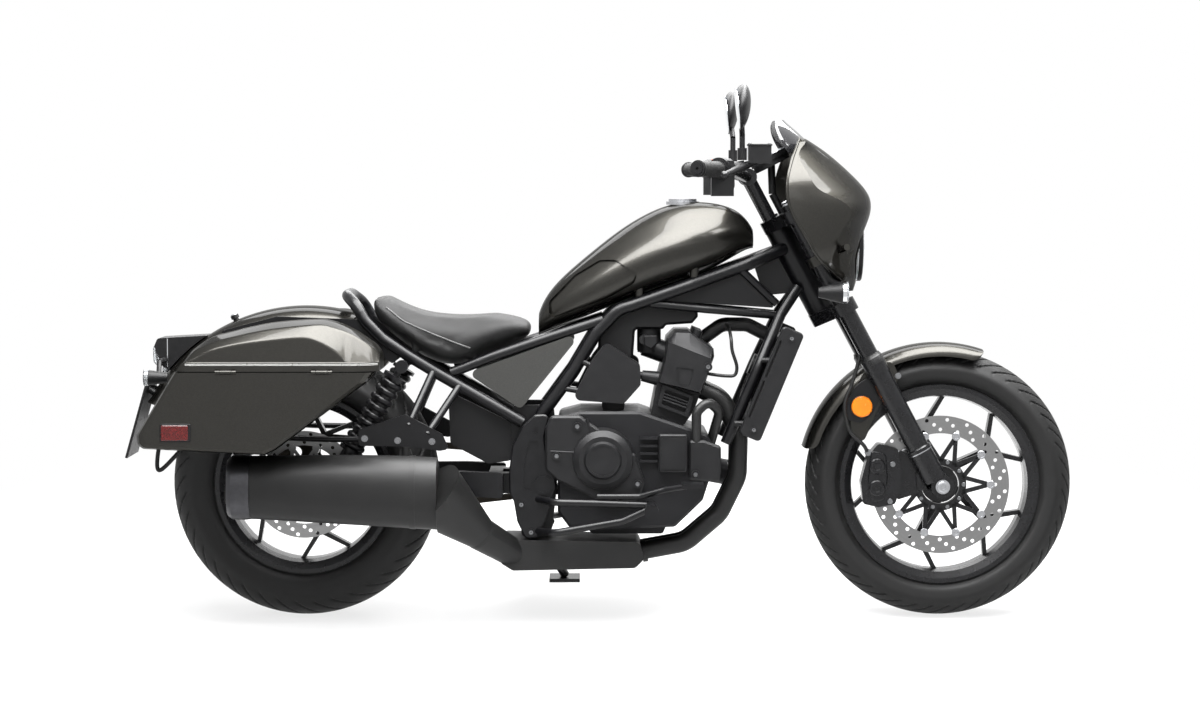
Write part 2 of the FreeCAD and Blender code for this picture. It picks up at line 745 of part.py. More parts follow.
def build_handlebar():
    """One bent bar in two risers that stand on the upper yoke."""
    points = []
    for side in (-1, 1):
        inner, along = grip_line(side)
        half = [bar_point(GRIP_OUT, side), inner - along * 72, bar_point(BAR_INNER, side)]
        points += half if side < 0 else half[::-1]
    bar = tube(points, BAR_R, 70.0)
    parts = [bar]
    for side in (-1, 1):
        centre = headed(BAR_CENTRE[0], side * RISER_Y, BAR_CENTRE[1])
        from_axis = centre - AXIS_FOOT
        up = from_axis.dot(AXIS_UP)
        ahead = from_axis.dot(AXIS_AHEAD)
        base = fork_point(UPPER_YOKE_UP + YOKE_THICK / 2 + SEAT_FIT, ahead, side * RISER_Y)
        parts.append(rod(base, fork_point(up, ahead, side * RISER_Y), RISER_R))
        parts.append(rod(centre - V(0, 15, 0), centre + V(0, 15, 0), BAR_R + 8.0))
    bar = join(*parts)
    for side in (-1, 1):
        inner, along = grip_line(side)
        outer = bar_point(GRIP_OUT, side)
        bar = bar.cut(rod(outer - along * BAR_END_DEPTH, outer + along * 5, BAR_END_R))
    return bar


def lever_pivot(side):
    inner, along = grip_line(side)
    return inner - along * 40 + V(46, 0, 8)


def build_controls():
    """Grips, switch housings, levers with their perches, and the brake fluid reservoir."""
    pieces = []
    for side in (-1, 1):
        inner, along = grip_line(side)
        outer = bar_point(GRIP_OUT, side)
        bore = rod(inner - along * 60, outer + along * 30, BAR_R + SEAT_FIT)
        grip = rod(inner, outer - along * 2, GRIP_R)
        flange = rod(inner, inner + along * 5, 22.0)
        housing = rod(inner - along * 46, inner, 27.0)
        box_centre = inner - along * 24
        lower_box = block((-26, 26), (-22, 22), (-62, 20))
        lower_box.translate(box_centre)
        perch_end = lever_pivot(side)
        perch = rod(box_centre - along * 16, perch_end, PERCH_R)
        lever_tip = outer + V(62, side * 6, -14)
        lever = taper(perch_end, lever_tip, 9.0, 6.0)
        unit = join(grip, flange, housing, lower_box, perch, lever)
        if side < 0:
            tank = block((1051, 1104), (-268, -216), (1086, 1126))
            tank = moved(tank, V(FRONT_AXLE.x - 1520.0, 0, FRONT_AXLE.z - 319.6))
            neck = rod(perch_end, headed(1066, -240, 1090), 9.0)
            unit = join(unit, tank, neck)
        pieces.append(unit.cut(bore))
    return Part.makeCompound(pieces)


def build_mirrors():
    mirrors = []
    for side in (-1, 1):
        base = lever_pivot(side) + V(-6, 0, PERCH_R + SEAT_FIT)
        neck = base + V(0, 0, MIRROR_RISE)
        head = bar_point(MIRROR_HEAD, side)
        stem = rod(base, neck, 6.5)
        arm = rod(neck, head, 6.5)
        nut = rod(base, base + V(0, 0, 28), 11.0)
        shell = Part.makeSphere(1.0)
        matrix = FreeCAD.Matrix()
        matrix.scale(MIRROR_HALF[0], MIRROR_HALF[1], MIRROR_HALF[2])
        shell = shell.transformGeometry(matrix)
        shell.rotate(V(0, 0, 0), V(0, 1, 0), 7.0)
        shell.translate(head)
        flat = block((-120, -8), (-120, 120), (-90, 90))
        flat.rotate(V(0, 0, 0), V(0, 1, 0), -7.0)
        flat.translate(head)
        mirrors.append(join(shell.cut(flat), arm, stem, nut))
    return Part.makeCompound(mirrors)


def bow(height, rear, crease, nose, rear_half, crease_half, inset=0.0, reach=0.0):
    """A plan section: two side skins from the rear edges to the crease, and the front face between them."""
    swell = 0.03 * (crease - rear)
    front = nose - inset
    corner_x = crease - inset
    corner_y = crease_half - inset
    middle = headed((rear + corner_x) / 2, (rear_half - inset + corner_y) / 2 + swell, height)
    rear_point = headed(rear, rear_half - inset, height)
    corner = headed(corner_x, corner_y, height)
    left = [rear_point, middle, corner]
    face = []
    for share in (1.0, 0.82, 0.55, 0.28, 0.0, -0.28, -0.55, -0.82, -1.0):
        face.append(headed(corner_x + (front - corner_x) * (1 - abs(share) ** 2.4), corner_y * share, height))
    right = [V(p.x, -p.y, p.z) for p in reversed(left)]
    back = V(-reach - 1.0, 0, 0)
    edges = [curve_edge(left), curve_edge(face), curve_edge(right)]
    edges.append(Part.makeLine(right[-1], right[-1] + back))
    edges.append(Part.makeLine(right[-1] + back, left[0] + back))
    edges.append(Part.makeLine(left[0] + back, left[0]))
    return Part.Wire(edges)


def bow_shell(levels, wall):
    """A curved shell open at the rear, top and foot: the outer loft less the same loft a wall smaller."""
    outer = Part.makeLoft([bow(*level) for level in levels], True, False)
    inner = Part.makeLoft([bow(*level, wall, 60.0) for level in levels], True, False)
    return outer.cut(inner)


def duct(side):
    """The slanted air slot low in the front face, beside the lamp."""
    slot = [(1290, 846), (1300, 882), (1360, 884), (1360, 848)]
    return side_plate([(headed(x, 0, z).x, headed(x, 0, z).z) for x, z in slot], side * 128, side * 170, 3.0)


def build_fairing():
    shell = bow_shell(FAIRING_LEVELS, FAIRING_WALL)
    lamp_from = headed(1240, 0, HEADLAMP_UP)
    shell = shell.cut(rod(lamp_from, lamp_from + V(200, 0, 0), HEADLAMP_R + 6.0))
    for side in (-1, 1):
        shell = shell.cut(duct(side))
    for side in (-1, 1):
        clamp_up = UPPER_YOKE_UP - 120.0
        clamp = rod(fork_point(clamp_up - 12, FORK_AHEAD, side * FORK_Y),
                    fork_point(clamp_up + 12, FORK_AHEAD, side * FORK_Y), STANCHION_R + 7.0)
        arm = rod(fork_point(clamp_up, FORK_AHEAD + 20, side * (FORK_Y + 12)),
                  fork_point(clamp_up, FORK_AHEAD + 66, side * 222.0), 8.0)
        hole = rod(fork_point(clamp_up - 20, FORK_AHEAD, side * FORK_Y),
                   fork_point(clamp_up + 20, FORK_AHEAD, side * FORK_Y), STANCHION_R + RUN_FIT)
        shell = join(shell, clamp, arm).cut(hole)
    return shell


def build_windscreen(fairing):
    """The smoked screen behind the fairing's top edge, fitted against it."""
    return largest(bow_shell(SCREEN_LEVELS, SCREEN_WALL).cut(fairing))


def build_headlamp():
    """Lamp: a stepped bowl with its rim, hung from the upper yoke by a stay ahead of the steering head."""
    front = headed(1326, 0, HEADLAMP_UP)
    bowl = taper(front - V(86, 0, 0), front - V(24, 0, 0), 52.0, HEADLAMP_R)
    rim = rod(front - V(24, 0, 0), front, HEADLAMP_R)
    hang = fork_point(UPPER_YOKE_UP, FORK_AHEAD - 4 + STAY_R + SEAT_FIT)
    knee = fork_point(UPPER_YOKE_UP - 50, FORK_AHEAD - 4 + STAY_R + SEAT_FIT)
    stay = rod(hang, knee, STAY_R)
    link = rod(knee, front - V(80, 0, 0), STAY_R)
    return join(bowl, rim, stay, link)


def build_front_signals():
    lamps = []
    for side in (-1, 1):
        back = headed(SIGNAL_BACK[0], side * SIGNAL_BACK[1], SIGNAL_BACK[2])
        front = headed(SIGNAL_FRONT[0], side * SIGNAL_FRONT[1], SIGNAL_FRONT[2])
        shell = taper(back, front - V(6, 0, 0), 12.0, 27.0)
        lens = rod(front - V(6, 0, 0), front, 27.0)
        clamp = fork_point(SIGNAL_CLAMP_UP, FORK_AHEAD, side * FORK_Y)
        stem = rod(clamp + V(0, side * (STANCHION_R + 3.0), 0), back + V(24, 0, 0), 7.0)
        ring = rod(clamp - AXIS_UP * 8, clamp + AXIS_UP * 8, STANCHION_R + 6.0)
        hole = rod(clamp - AXIS_UP * 20, clamp + AXIS_UP * 20, STANCHION_R + RUN_FIT)
        lamps.append(join(shell, lens, stem, ring).cut(hole))
    return Part.makeCompound(lamps)


def build_instrument():
    """Round meter above the bar clamps, its face turned up to the rider."""
    facing = V(-0.45, 0, 0.89)
    centre = headed(1112, 0, 1102)
    case = rod(centre - facing * 22, centre, 46.0)
    ring = rod(centre - facing * 8, centre + facing * 3, 49.0)
    yoke_seat = fork_point(UPPER_YOKE_UP + YOKE_THICK / 2 + SEAT_FIT, 26.0)
    knee = yoke_seat + AXIS_UP * 50
    return join(case, ring, rod(yoke_seat, knee, 9.0), rod(knee, centre - facing * 12, 9.0))


def arched_fender(centre, outer_r, half, skirt, wall, from_deg, to_deg, crown):
    """A fender: a crowned channel section turned about the axle from one tip to the other."""
    def at(y, r):
        return V(0, y, r)
    shoulder = outer_r - crown
    outer = [
        Part.makeLine(at(half, shoulder - skirt), at(half, shoulder)),
        Part.Arc(at(half, shoulder), at(0, outer_r), at(-half, shoulder)).toShape(),
        Part.makeLine(at(-half, shoulder), at(-half, shoulder - skirt)),
        Part.makeLine(at(-half, shoulder - skirt), at(-half + wall, shoulder - skirt)),
        Part.makeLine(at(-half + wall, shoulder - skirt), at(-half + wall, shoulder - wall)),
        Part.Arc(at(-half + wall, shoulder - wall), at(0, outer_r - wall),
                 at(half - wall, shoulder - wall)).toShape(),
        Part.makeLine(at(half - wall, shoulder - wall), at(half - wall, shoulder - skirt)),
        Part.makeLine(at(half - wall, shoulder - skirt), at(half, shoulder - skirt)),
    ]
    face = Part.Face(Part.Wire(outer))
    start = face.copy()
    start.rotate(V(0, 0, 0), V(0, 1, 0), 90 - from_deg)
    swept = start.revolve(V(0, 0, 0), V(0, -1, 0), to_deg - from_deg)
    swept.translate(centre)
    return swept


def build_front_fender():
    shell = arched_fender(FRONT_AXLE, FENDER_R, FENDER_HALF, 22.0, FENDER_WALL, FENDER_FROM, FENDER_TO, 9.0)
    pieces = [shell]
    for side in (-1, 1):
        y_in = side * (FENDER_HALF - 0.5)
        y_out = side * (FENDER_HALF + 3.5)
        bracket = [
            fork_point(286, FORK_AHEAD - 86),
            fork_point(330, FORK_AHEAD - 20),
            fork_point(318, FORK_AHEAD + 44),
            fork_point(270, FORK_AHEAD + 40),
            fork_point(238, FORK_AHEAD - 30),
            fork_point(176, FORK_AHEAD - 108),
            fork_point(206, FORK_AHEAD - 128),
        ]
        plate = point_plate(bracket, y_in, y_out, 8.0)
        boss = rod(fork_point(292, FORK_AHEAD + 10, y_in),
                   fork_point(292, FORK_AHEAD + 10, side * (FORK_Y - 20)), 9.0)
        slider = rod(fork_point(200, FORK_AHEAD, side * FORK_Y), fork_point(360, FORK_AHEAD, side * FORK_Y),
                     SLIDER_R + SEAT_FIT)
        collar = rod(fork_point(SLIDER_TOP - 42 - SEAT_FIT, FORK_AHEAD, side * FORK_Y),
                     fork_point(360, FORK_AHEAD, side * FORK_Y), SLIDER_R + 2.0 + SEAT_FIT)
        pieces.append(join(plate, boss).cut(slider).cut(collar))
    return join(*pieces)


def build_front_caliper():
    """Four-piston caliper astride the disc behind the right fork leg, on its bracket from the leg."""
    outline = [(FRONT_AXLE.x + x, FRONT_AXLE.z + z) for x, z in CALIPER_OUTLINE]
    body = side_plate(outline, -FRONT_DISC_Y - 30, -FRONT_DISC_Y + 27, 8.0)
    slot_half = DISC_THICK / 2 + PAD_GAP
    slot = moved(rod(V(0, -FRONT_DISC_Y - slot_half, 0), V(0, -FRONT_DISC_Y + slot_half, 0),
                     FRONT_DISC_R + 5.0), FRONT_AXLE)
    body = body.cut(slot)
    foot = fork_point(0, OFFSET)
    arm_y = -FRONT_DISC_Y - DISC_THICK / 2 - 3.0
    arm = [
        (FRONT_AXLE.x - 100, FRONT_AXLE.z + 84),
        (FRONT_AXLE.x - 62, FRONT_AXLE.z + 70),
        (FRONT_AXLE.x - 40, FRONT_AXLE.z + 20),
        (FRONT_AXLE.x - 46, FRONT_AXLE.z - 18),
        (FRONT_AXLE.x - 104, FRONT_AXLE.z - 36),
    ]
    plate = side_plate(arm, arm_y - 7, arm_y, 4.0)
    lug = side_plate([(foot.x - 60, foot.z + 30), (foot.x - 20, foot.z + 24), (foot.x - 27, foot.z - 10),
                      (foot.x - 56, foot.z - 12)], arm_y - 20, arm_y, 3.0)
    leg = rod(fork_point(-30, FORK_AHEAD, -FORK_Y), fork_point(360, FORK_AHEAD, -FORK_Y), SLIDER_FOOT_R + TYRE_FIT)
    around = rod(FRONT_AXLE - V(0, 150, 0), FRONT_AXLE, 27.0 + TYRE_FIT)
    return join(body, plate, lug).cut(leg).cut(around)


# Frame

def main_rail(side, extra=0.0):
    """The backbone rail on one side, from the steering head down to the pivot plate."""
    y = side * RAIL_Y
    points = [fork_point(672, -10, side * 22), headed(1059, side * 66, 847), headed(923, y, 800),
              headed(787, y, 752), V(748, y, 740), V(696, y, 684), V(642, y, 593), V(574, y, 500),
              V(545, y, 452), V(530, y, 400)]
    return tube(points, RAIL_R + extra, 70.0)


def side_tube(side, extra=0.0):
    y = side * RAIL_Y
    return tube([V(714, y, 716), V(556, y, 664), V(456, y, 630), V(353, y, 590)], SIDE_TUBE_R + extra, 90.0)


def down_tube(side, extra=0.0):
    y = side * RAIL_Y
    points = [fork_point(574, -26, side * 30), headed(1138, side * 60, 727), headed(1084, y, 606),
              headed(1005, y, 422)]
    return tube(points, DOWN_R + extra, 80.0)


def cross_tube(side, extra=0.0):
    y = side * RAIL_Y
    points = [headed(826, y, 754), headed(960, side * 96, 740), headed(1128, side * 56, 724)]
    return tube(points, SMALL_TUBE_R + extra, 60.0)


def head_brace(side, extra=0.0):
    return tube([headed(1040, side * 74, 836), headed(1128, side * 58, 752)], SMALL_TUBE_R + extra, 60.0)


def build_frame_main():
    """Steering head, main rails, down tubes, lower rails, cross tubes and the pivot plates."""
    head_low = LOWER_YOKE_UP + YOKE_THICK / 2 + RUN_GAP
    head_high = UPPER_YOKE_UP - YOKE_THICK / 2 - RUN_GAP
    head = rod(fork_point(head_low), fork_point(head_high), HEAD_R)
    parts = [head]
    for side in (-1, 1):
        parts += [main_rail(side), side_tube(side), down_tube(side), cross_tube(side), head_brace(side)]
        pivot = [(497, 512), (592, 512), (600, 430), (602, 300), (590, 200), (520, 196), (512, 300), (497, 340)]
        plate = side_plate(pivot, side * PIVOT_IN, side * PIVOT_OUT, 12.0)
        bolt = cross_rod(SWING_PIVOT[0], SWING_PIVOT[1], PIVOT_BOLT_R + RUN_FIT, -150, 150)
        parts.append(plate.cut(bolt))
    parts.append(cross_rod(540, 484, 14.0, -PIVOT_IN - 1, PIVOT_IN + 1))
    parts.append(cross_rod(545, 222, 12.0, -PIVOT_IN - 1, PIVOT_IN + 1))
    gusset = [fork_point(690, -24), fork_point(560, -24), headed(1100, 0, 770), headed(1076, 0, 844)]
    parts.append(point_plate(gusset, -4, 4, 3.0))
    parts.append(stand_lug())
    frame = join(*parts)
    stem_bore = rod(fork_point(head_low - 1), fork_point(head_high + 1), STEM_R + RUN_GAP)
    return frame.cut(stem_bore)


def seat_loop(extra=0.0):
    """The bent tube that carries the seat, round behind it from one side to the other."""
    y = LOOP_Y
    right = [V(523, -y, 472), V(323, -y, 588), V(250, -y, 632), V(190, -y, 672), V(150, -y, 712),
             V(128, -y + 6, 750), V(104, -70, 772)]
    left = [V(p.x, -p.y, p.z) for p in reversed(right)]
    return tube(right + left, LOOP_R + extra, 60.0)


def build_frame_rear(frame_main):
    """Seat loop round behind the seat, its fender struts and the hanger plates, coped to the main frame."""
    parts = [seat_loop()]
    for side in (-1, 1):
        strut = [(250, 640), (150, 716), (-60, 724), (-190, 690), (-190, 664), (-40, 690), (120, 672), (214, 612)]
        parts.append(side_plate(strut, side * (REAR_FENDER_HALF + SEAT_FIT), side * (LOOP_Y - 4.0), 6.0))
        hanger = [(140, 462), (250, 498), (336, 452), (352, 416), (330, 412), (262, 422), (140, 424)]
        parts.append(side_plate(hanger, side * HANGER_IN, side * HANGER_OUT, 8.0))
        parts.append(rod(V(256, side * (HANGER_IN + 3), 470), V(310, side * 126, 592), 9.0))
        parts.append(rod(V(300, side * (HANGER_IN + 3), 450), V(372, side * 126, 558), 9.0))
    return join(*parts).cut(frame_main)


# Rear end

def build_swingarm():
    """Two box-section arms joined ahead of the wheel, with the fixed rear axle through their ends."""
    axle = REAR_AXLE
    pivot_x, pivot_z = SWING_PIVOT
    z_span = (pivot_z - 24, pivot_z + 24)
    parts = []
    for side in (-1, 1):
        outline = [(axle.x - 44, axle.z + 24), (axle.x + 70, axle.z + 34), (380, pivot_z + 34), (476, pivot_z + 30),
                   (476, pivot_z - 30), (380, pivot_z - 24), (axle.x + 70, axle.z - 24), (axle.x - 44, axle.z - 22)]
        parts.append(side_plate(outline, side * ARM_IN, side * ARM_OUT, 8.0))
        parts.append(block((440, 476), sorted((side * 40.0, side * (ARM_OUT - 2.0))), z_span))
        parts.append(block((440, pivot_x), sorted((side * 40.0, side * (PIVOT_IN - 1.0))), z_span))
        spacer_from = V(axle.x, side * (REAR_HUB_HALF + RUN_GAP), axle.z)
        parts.append(rod(spacer_from, V(axle.x, side * (ARM_IN + 2.0), axle.z), 16.0))
    parts.append(block((440, 472), (-100, 100), z_span))
    parts.append(cross_rod(pivot_x, pivot_z, 24.0, -PIVOT_IN + 1.0, PIVOT_IN - 1.0))
    parts.append(cross_rod(pivot_x, pivot_z, PIVOT_BOLT_R, -PIVOT_OUT - 6.0, PIVOT_OUT + 6.0))
    parts.append(rod(V(axle.x, -168, axle.z), V(axle.x, 168, axle.z), AXLE_R))
    return join(*parts)


def wound_spring(foot, along, start, stop):
    """A coil spring as one revolved sleeve whose outside rises over each turn of the wire."""
    pitch = (stop - start) / COIL_TURNS
    valley = COIL_R - COIL_WIRE_R * 0.5
    edges = [Part.makeLine(V(COIL_IN, 0, stop), V(COIL_IN, 0, start)),
             Part.makeLine(V(COIL_IN, 0, start), V(valley, 0, start))]
    for number in range(COIL_TURNS):
        low = V(valley, 0, start + pitch * number)
        high = V(valley, 0, low.z + pitch * 0.75)
        edges.append(Part.Arc(low, V(COIL_R + COIL_WIRE_R, 0, (low.z + high.z) / 2), high).toShape())
        edges.append(Part.makeLine(high, V(valley, 0, low.z + pitch)))
    edges.append(Part.makeLine(V(valley, 0, stop), V(COIL_IN, 0, stop)))
    spring = Part.Face(Part.Wire(edges)).revolve(V(0, 0, 0), V(0, 0, 1), 360)
    spring.Placement = FreeCAD.Placement(foot, FreeCAD.Rotation(V(0, 0, 1), along))
    return spring


def build_rear_shocks():
    """Twin coil-over units: eyes, damper body, spring seats and the coils wound round their sleeve."""
    units = []
    for side in (-1, 1):
        top = V(SHOCK_TOP[0], side * SHOCK_Y, SHOCK_TOP[1])
        foot = V(SHOCK_FOOT[0], side * SHOCK_Y, SHOCK_FOOT[1])
        along = top - foot
        length = along.Length
        along.normalize()
        body = rod(foot + along * 12, foot + along * (length * 0.6), 18.0)
        shaft = rod(foot + along * (length * 0.5), top - along * 12, 8.0)
        spring = wound_spring(foot, along, 50.0, length - 34.0)
        seats = [rod(foot + along * 42, foot + along * 50.5, 29.0), rod(top - along * 34.5, top - along * 26, 29.0)]
        eyes = [rod(point - V(0, 14, 0), point + V(0, 14, 0), 15.0) for point in (top, foot)]
        top_pin = rod(top, V(top.x, side * 122.0, top.z), 7.0)
        foot_pin = rod(foot, V(foot.x, side * 151.5, foot.z), 7.0)
        foot_lug = side_plate([(foot.x - 14, foot.z + 12), (foot.x + 14, foot.z + 12), (foot.x + 26, foot.z - 24),
                               (foot.x - 26, foot.z - 24)], side * 152.3, side * 157.0, 3.0)
        units.append(join(body, shaft, spring, top_pin, foot_pin, foot_lug, *seats, *eyes))
    return Part.makeCompound(units)


def build_rear_fender():
    """Crowned rear fender between the struts, its rear face carrying the lamps."""
    return arched_fender(REAR_AXLE, REAR_FENDER_R, REAR_FENDER_HALF, 26.0, FENDER_WALL, REAR_FENDER_FROM,
                         REAR_FENDER_TO, 22.0)


def build_tail_lamp():
    """Lamp housing on the fender's tail, hollowed to the fender's own round."""
    housing = side_plate([(-229, 676), (-352, 669), (-360, 650), (-342, 604), (-322, 590), (-229, 595)],
                         -LAMP_HALF, LAMP_HALF, 8.0)
    seat = rod(REAR_AXLE - V(0, 150, 0), REAR_AXLE + V(0, 150, 0), REAR_FENDER_R + SEAT_FIT)
    return housing.cut(seat)


def build_rear_signals():
    lamps = []
    for side in (-1, 1):
        stalk = rod(V(-336, side * (LAMP_HALF + SEAT_FIT), 618), V(-336, side * 140, 618), 6.0)
        drop = rod(V(-336, side * 140, 618), V(-334, side * 165, 590), 6.0)
        lamp = taper(V(-312, side * 172, 582), V(-362, side * 172, 582), 12.0, 19.0)
        lens = rod(V(-362, side * 172, 582), V(-368, side * 172, 582), 19.0)
        lamps.append(join(stalk, drop, lamp, lens))
    return Part.makeCompound(lamps)


def plate_down():
    """The direction down the plate holder's slope."""
    down = V(PLATE_FOOT[0] - PLATE_TOP[0], 0, PLATE_FOOT[1] - PLATE_TOP[1])
    down.normalize()
    return down


def plate_normal():
    """The plate holder's outward normal, rearwards and a little up."""
    down = plate_down()
    return V(down.z, 0, -down.x)


def plate_hole(y):
    """The middle of a screw hole's wall in the plate holder."""
    return V(PLATE_TOP[0], y, PLATE_TOP[1]) + plate_down() * PLATE_HOLE_DROP


def build_plate_bracket():
    """A bare plate holder slanting down behind the fender, on two studs from the fender's tail."""
    out = plate_normal() * (PLATE_THICK / 2)
    top = V(PLATE_TOP[0], 0, PLATE_TOP[1])
    foot = V(PLATE_FOOT[0], 0, PLATE_FOOT[1])
    holder = point_plate([top + out, top - out, foot - out, foot + out], -PLATE_HALF, PLATE_HALF, 1.0)
    studs = []
    for y in (-40.0, 40.0):
        near = REAR_AXLE + polar(REAR_FENDER_R + SEAT_FIT - 3.0, REAR_FENDER_TO - 3.0, y)
        studs.append(rod(near, near + polar(18.0, REAR_FENDER_TO - 3.0), 8.0))
    keep = build_rear_fender_clear()
    body = join(holder, *studs).cut(keep)
    for y in (-PLATE_HOLE_SPACING / 2, PLATE_HOLE_SPACING / 2):
        hole = plate_hole(y)
        body = body.cut(rod(hole - plate_normal() * 20, hole + plate_normal() * 20, PLATE_HOLE_R))
    return body


def build_rear_fender_clear():
    """The space that the rear fender and its seating gap take up."""
    return arched_fender(REAR_AXLE, REAR_FENDER_R + SEAT_FIT, REAR_FENDER_HALF, 26.0, FENDER_WALL + 2 * SEAT_FIT,
                         REAR_FENDER_FROM, REAR_FENDER_TO + 2.0, 22.0)


def inset(outline, wall):
    """The outline moved inwards by a wall, corner by corner."""
    points = [V(x, 0, z) for x, z in outline]
    wire = Part.makePolygon(points + [points[0]]).makeOffset2D(-wall, 2, False, False)
    return [(vertex.X, vertex.Z) for vertex in wire.OrderedVertexes]


def scaled_ring(outline, share, y):
    """The rounded outline drawn in towards the case's centre, at one depth across the bike."""
    x_mid, z_mid = CASE_CENTRE
    points = [V(x_mid + (x - x_mid) * share, y, z_mid + (z - z_mid) * share) for x, z in outline]
    return Part.Wire(bend_edges(points, CASE_CORNER, True))


def bevelled_case(outline, side, wall):
    """A closed case body whose inner and outer faces are bevelled, a wall inside the outer faces."""
    stations = (
        (BAG_INNER_Y + wall, 0.96),
        (BAG_INNER_Y + BEVEL_IN, 1.0),
        (BAG_OUTER_Y - BEVEL_OUT, 1.0),
        (BAG_OUTER_Y - 0.3 * BEVEL_OUT, 0.975),
        (BAG_OUTER_Y - wall, 0.93),
    )
    return Part.makeLoft([scaled_ring(outline, share, side * y) for y, share in stations], True, True)


def case_shell(side):
    """The whole hollow case, before it is split at the seam."""
    outer = bevelled_case(CASE_OUTLINE, side, 0.0)
    inner = bevelled_case(inset(CASE_OUTLINE, BAG_WALL), side, BAG_WALL)
    return outer.cut(inner)


def half_space(low, high):
    return block((-500, 400), (-500, 500), (low, high))


def hinge_barrel(side, x_from, x_to, radius):
    return rod(V(x_from, side * BAG_OUTER_Y, SEAM_UP), V(x_to, side * BAG_OUTER_Y, SEAM_UP), radius)


def bag_body(side):
    """The tub below the seam, with the fixed knuckles and pins of its two hinges."""
    tub = case_shell(side).common(half_space(300, SEAM_UP - LID_GAP))
    for x in HINGE_X:
        near = (x - HINGE_HALF - HINGE_EAR, x - HINGE_HALF)
        far = (x + HINGE_HALF, x + HINGE_HALF + HINGE_EAR)
        tub = tub.cut(hinge_barrel(side, near[0] + HINGE_EAR - RUN_GAP, far[0] + RUN_GAP, HINGE_R + RUN_GAP))
        ears = [hinge_barrel(side, near[0], near[1], HINGE_R), hinge_barrel(side, far[0], far[1], HINGE_R)]
        tub = join(tub, *ears, hinge_barrel(side, near[0], far[1], HINGE_PIN_R))
    return tub


def bag_lid(side):
    """The lid above the seam, with the moving knuckles of its two hinges."""
    lid = case_shell(side).common(half_space(SEAM_UP + LID_GAP, 900))
    for x in HINGE_X:
        lid = lid.cut(hinge_barrel(side, x - HINGE_HALF - HINGE_EAR - RUN_GAP, x + HINGE_HALF + HINGE_EAR + RUN_GAP,
                                   HINGE_R + RUN_GAP))
        tongue = hinge_barrel(side, x - HINGE_HALF + RUN_GAP, x + HINGE_HALF - RUN_GAP, HINGE_R)
        low, high = sorted((side * (BAG_OUTER_Y - BAG_WALL - 1.0), side * (BAG_OUTER_Y + 1.0)))
        web = block((x - HINGE_HALF + RUN_GAP, x + HINGE_HALF - RUN_GAP), (low, high),
                    (SEAM_UP + LID_GAP, SEAM_UP + 9.0))
        lid = join(lid, tongue, web).cut(hinge_barrel(side, x - 60, x + 60, HINGE_PIN_R + RUN_FIT))
    return lid


def build_bag_stays():
    """A rail under each bag's inner face from the hanger plate, and a rod up to the fender strut."""
    stays = []
    for side in (-1, 1):
        y_far = side * (HANGER_IN + HANGER_OUT) / 2
        y_near = side * (BAG_INNER_Y - STAY_TUBE_R - SEAT_FIT)
        rail = tube([V(139.7, y_far, 439), V(70, y_far, 439), V(0, y_near, 441), V(-190, y_near, 452),
                     V(-262, y_near, 474)], STAY_TUBE_R, 40.0)
        rise = rod(V(-200, y_near, 454), V(-180, side * 124, 678), STAY_TUBE_R)
        stays.append(join(rail, rise))
    return Part.makeCompound(stays)


# Seat, tank and covers


def build_seat():
    """A dished saddle that tapers to the tank, its underside resting on the frame tubes."""
    rings = []
    for x, half, low, high in SEAT_STATIONS:
        rings.append(oval(V(x, 0, (low + high) / 2), half, (high - low) / 2, 3.2))
    saddle = Part.makeLoft(rings, True, False)
    for side in (-1, 1):
        saddle = join(saddle, rod(V(400, side * 104, 616), V(400, side * 104, 656), 9.0),
                      rod(V(266, side * 112, 622), V(266, side * 112, 690), 9.0))
    saddle = saddle.cut(seat_loop(SEAT_FIT))
    for side in (-1, 1):
        saddle = saddle.cut(side_tube(side, SEAT_FIT))
    return saddle


def tank_body(narrowing=0.0):
    """The tank's loft, its sides drawn in by the given amount."""
    rings = []
    for x, half, low, high, top_share in TANK_STATIONS:
        drop = TANK_DROP if x < 1000 else 0.0
        centre = headed(x, 0, (low - drop + high) / 2)
        rings.append(oval(centre, half - narrowing, (high - low + drop) / 2, 2.9, top_share, 16))
    return Part.makeLoft(rings, True, False)


def build_fuel_tank():
    """Teardrop tank with hollowed knees, on four pads over the main rails, with a flat seat for the filler cap."""
    tank = tank_body()
    for side in (-1, 1):
        knee = side_plate(KNEE_OUTLINE, side * 40, side * 220, 16.0)
        tank = tank.cut(knee.cut(tank_body(KNEE_DEPTH)))
    pads = []
    for x, foot in ((800.0, 767.0), (930.0, 812.0)):
        for side in (-1, 1):
            pads.append(rod(headed(x, side * 104, foot), headed(x, side * 104, foot + 60), 11.0))
    tank = join(tank, *pads)
    for side in (-1, 1):
        tank = tank.cut(main_rail(side, SEAT_FIT)).cut(cross_tube(side, SEAT_FIT))
    seat = top_of(tank) - V(0, 0, CAP_SINK)
    return tank.cut(rod(seat, seat + V(0, 0, 60), CAP_R + 6.0 + SEAT_FIT))


def top_of(tank):
    """The highest point of the tank under the filler cap."""
    x = headed(CAP_X, 0, 0).x
    probe = Part.makeLine(V(x, 0, 700), V(x, 0, 1400)).common(tank)
    return V(x, 0, probe.BoundBox.ZMax)


def build_fuel_cap(seat):
    base = rod(seat + V(0, 0, SEAT_FIT), seat + V(0, 0, CAP_SINK + 3), CAP_R + 6)
    return join(base, rod(seat + V(0, 0, CAP_SINK + 3), seat + V(0, 0, CAP_SINK + 9), CAP_R))


def build_side_covers():
    """Triangular covers below the seat, one on each side, fitted under the side tube."""
    covers = []
    for side in (-1, 1):
        plate = side_plate([(390, 590), (668, 690), (518, 504)], side * 108.0, side * 124.0, 12.0)
        plate = plate.cut(side_tube(side, SEAT_FIT)).cut(main_rail(side, SEAT_FIT)).cut(seat_loop(SEAT_FIT))
        covers.append(largest(plate))
    return Part.makeCompound(covers)


